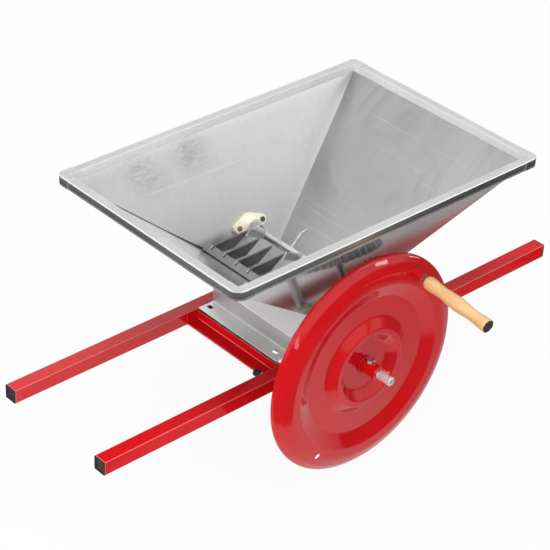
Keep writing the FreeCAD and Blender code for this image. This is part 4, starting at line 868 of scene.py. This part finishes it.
# the white sheet that the mill stands on, as polished things mirror it: it ends at a slanting front
# edge and at its reach, is dark beyond them and dims towards the right
table = {"height": -0.2, "half": 15, "edge": 0.556, "slant": 0.40, "reach": 0.86, "soft": 0.03, "near": 0.85,
         "beyond": 0.16, "dims": (0.05, 0.45), "right": 0.5, "seen": 0.93, "shade": 0.82}


def makeStage():
    # white where it is seen straight or mirrored, and it keeps the shadow
    m = table
    corners = [(x * m["half"], y * m["half"], m["height"]) for x, y in ((-1, -1), (1, -1), (1, 1), (-1, 1))]
    mesh = bpy.data.meshes.new("floor")
    mesh.from_pydata(corners, [], [(0, 1, 2, 3)])
    pale = bpy.data.materials.new("paleFloor")
    pale.use_nodes = True
    tree = Nodes(pale.node_tree)
    pale.node_tree.nodes.clear()
    path = tree.add("LightPath").socket.node
    mirrored = Wire(tree, path.outputs["Is Glossy Ray"])
    seen = Wire(tree, path.outputs["Is Camera Ray"]) * m["seen"] + mirrored
    spot = tree.add("TexCoord", out=3)
    x, y = (tree.add("SeparateXYZ", None, {0: spot}, out=index) for index in (0, 1))
    front = y + m["slant"] * x + m["edge"]
    away = m["reach"] - (x * x + y * y).math("SQRT")
    inside = tree.add("MapRange", {"interpolation_type": "SMOOTHSTEP"},
                      {"Value": front.math("MINIMUM", away), "From Min": -m["soft"], "From Max": m["soft"],
                       "To Min": m["beyond"], "To Max": m["near"]})
    level = tree.level(x, 1.0, m["right"], *m["dims"]) * inside * mirrored + (1.0 - mirrored)
    glow = tree.add("Emission", None, {"Color": grey(1), "Strength": level})
    matt = tree.add("BsdfDiffuse", None, {"Color": grey(m["shade"])})
    tree.add("OutputMaterial", None, {0: tree.add("MixShader", None, {0: seen, 1: matt, 2: glow})})
    mesh.materials.append(pale)
    placed("floor", mesh)


# the world's brightness by height of the ray, for mirrored and for other rays
sky = {"mirrored": [(0.0, 0.3), (0.5, 0.12), (0.55, 0.2), (0.60, 0.80), (0.7, 0.95), (1.0, 1.0)],
       "lighting": [(0.0, 0.55), (0.5, 0.5), (0.75, 0.62), (1.0, 0.75)]}


def makeSky():
    world = bpy.data.worlds.new("studio")
    scene.world = world
    world.use_nodes = True
    tree = Nodes(world.node_tree)
    world.node_tree.nodes.clear()
    path = tree.add("LightPath").socket.node
    height = tree.add("SeparateXYZ", None, {0: tree.add("TexCoord")}, out=2) * 0.5 + 0.5
    mirrored, lighting = (tree.ramp(sky[key], height) for key in ("mirrored", "lighting"))
    shade = tree.mix(Wire(tree, path.outputs["Is Glossy Ray"]), lighting, mirrored)
    colour = tree.mix(Wire(tree, path.outputs["Is Camera Ray"]), shade, grey(1.0))
    tree.add("OutputWorld", None, {0: tree.add("Background", None, {"Color": colour, "Strength": 1.0})})


# fills light the mill softly and aren't mirrored; boxes are only mirrored, long along a way
lamps = {
    "topFill": {"place": (-0.6, -0.6, 3.0), "target": (0, 0, 0.1), "size": (2.4, 2.4), "power": 46},
    "leftFill": {"place": (-2.8, -1.0, 0.9), "target": (0, 0, 0.1), "size": (1.4, 1.4), "power": 34},
    "keyFill": {"place": (1.3, -2.2, 2.0), "target": (0, -0.2, 0.1), "size": (1.0, 1.0), "power": 9},
    "rightBox": {"place": (2.35, -0.76, 0.39), "target": (0, -0.25, 0.25), "size": (0.10, 0.50), "power": 1.8,
                 "long": (-0.48, -0.65, 0.60)},
    "nearBox": {"place": (1.68, -1.68, 1.23), "target": (0, -0.25, 0.25), "size": (0.08, 0.46), "power": 0.8,
                "long": (-0.48, -0.65, 0.60)},
    "leftBox": {"place": (-1.45, -2.9, 0.80), "target": (-0.2, -0.25, 0.15), "size": (0.16, 0.9),
                "power": 1.4, "long": (0, 0, 1)},
    "edgeBox": {"place": (1.6, -1.9, 2.2), "target": (0, -0.2, 0.1), "size": (0.9, 0.4), "power": 5,
                "long": (0, 0, 1)},
}


def makeLamp(name, place, target, size, power, long=None):
    lamp = bpy.data.lights.new(name, "AREA")
    lamp.shape, lamp.size, lamp.size_y, lamp.energy = "RECTANGLE", size[0], size[1], power
    back = (Vector(place) - Vector(target)).normalized()
    side = Vector(long or (0, 0, 1)).cross(back).normalized()
    holder = bpy.data.objects.new(name, lamp)
    holder.location = place
    holder.rotation_euler = Matrix((side, back.cross(side), back)).transposed().to_euler()
    holder.visible_glossy, holder.visible_diffuse = bool(long), not long
    scene.collection.objects.link(holder)


makeCamera()
makeStage()
makeSky()
for name, sizes in lamps.items():
    makeLamp(name, **sizes)
scene.view_settings.view_transform = "Standard"
print("camera, floor and light made")

print("scene finished")
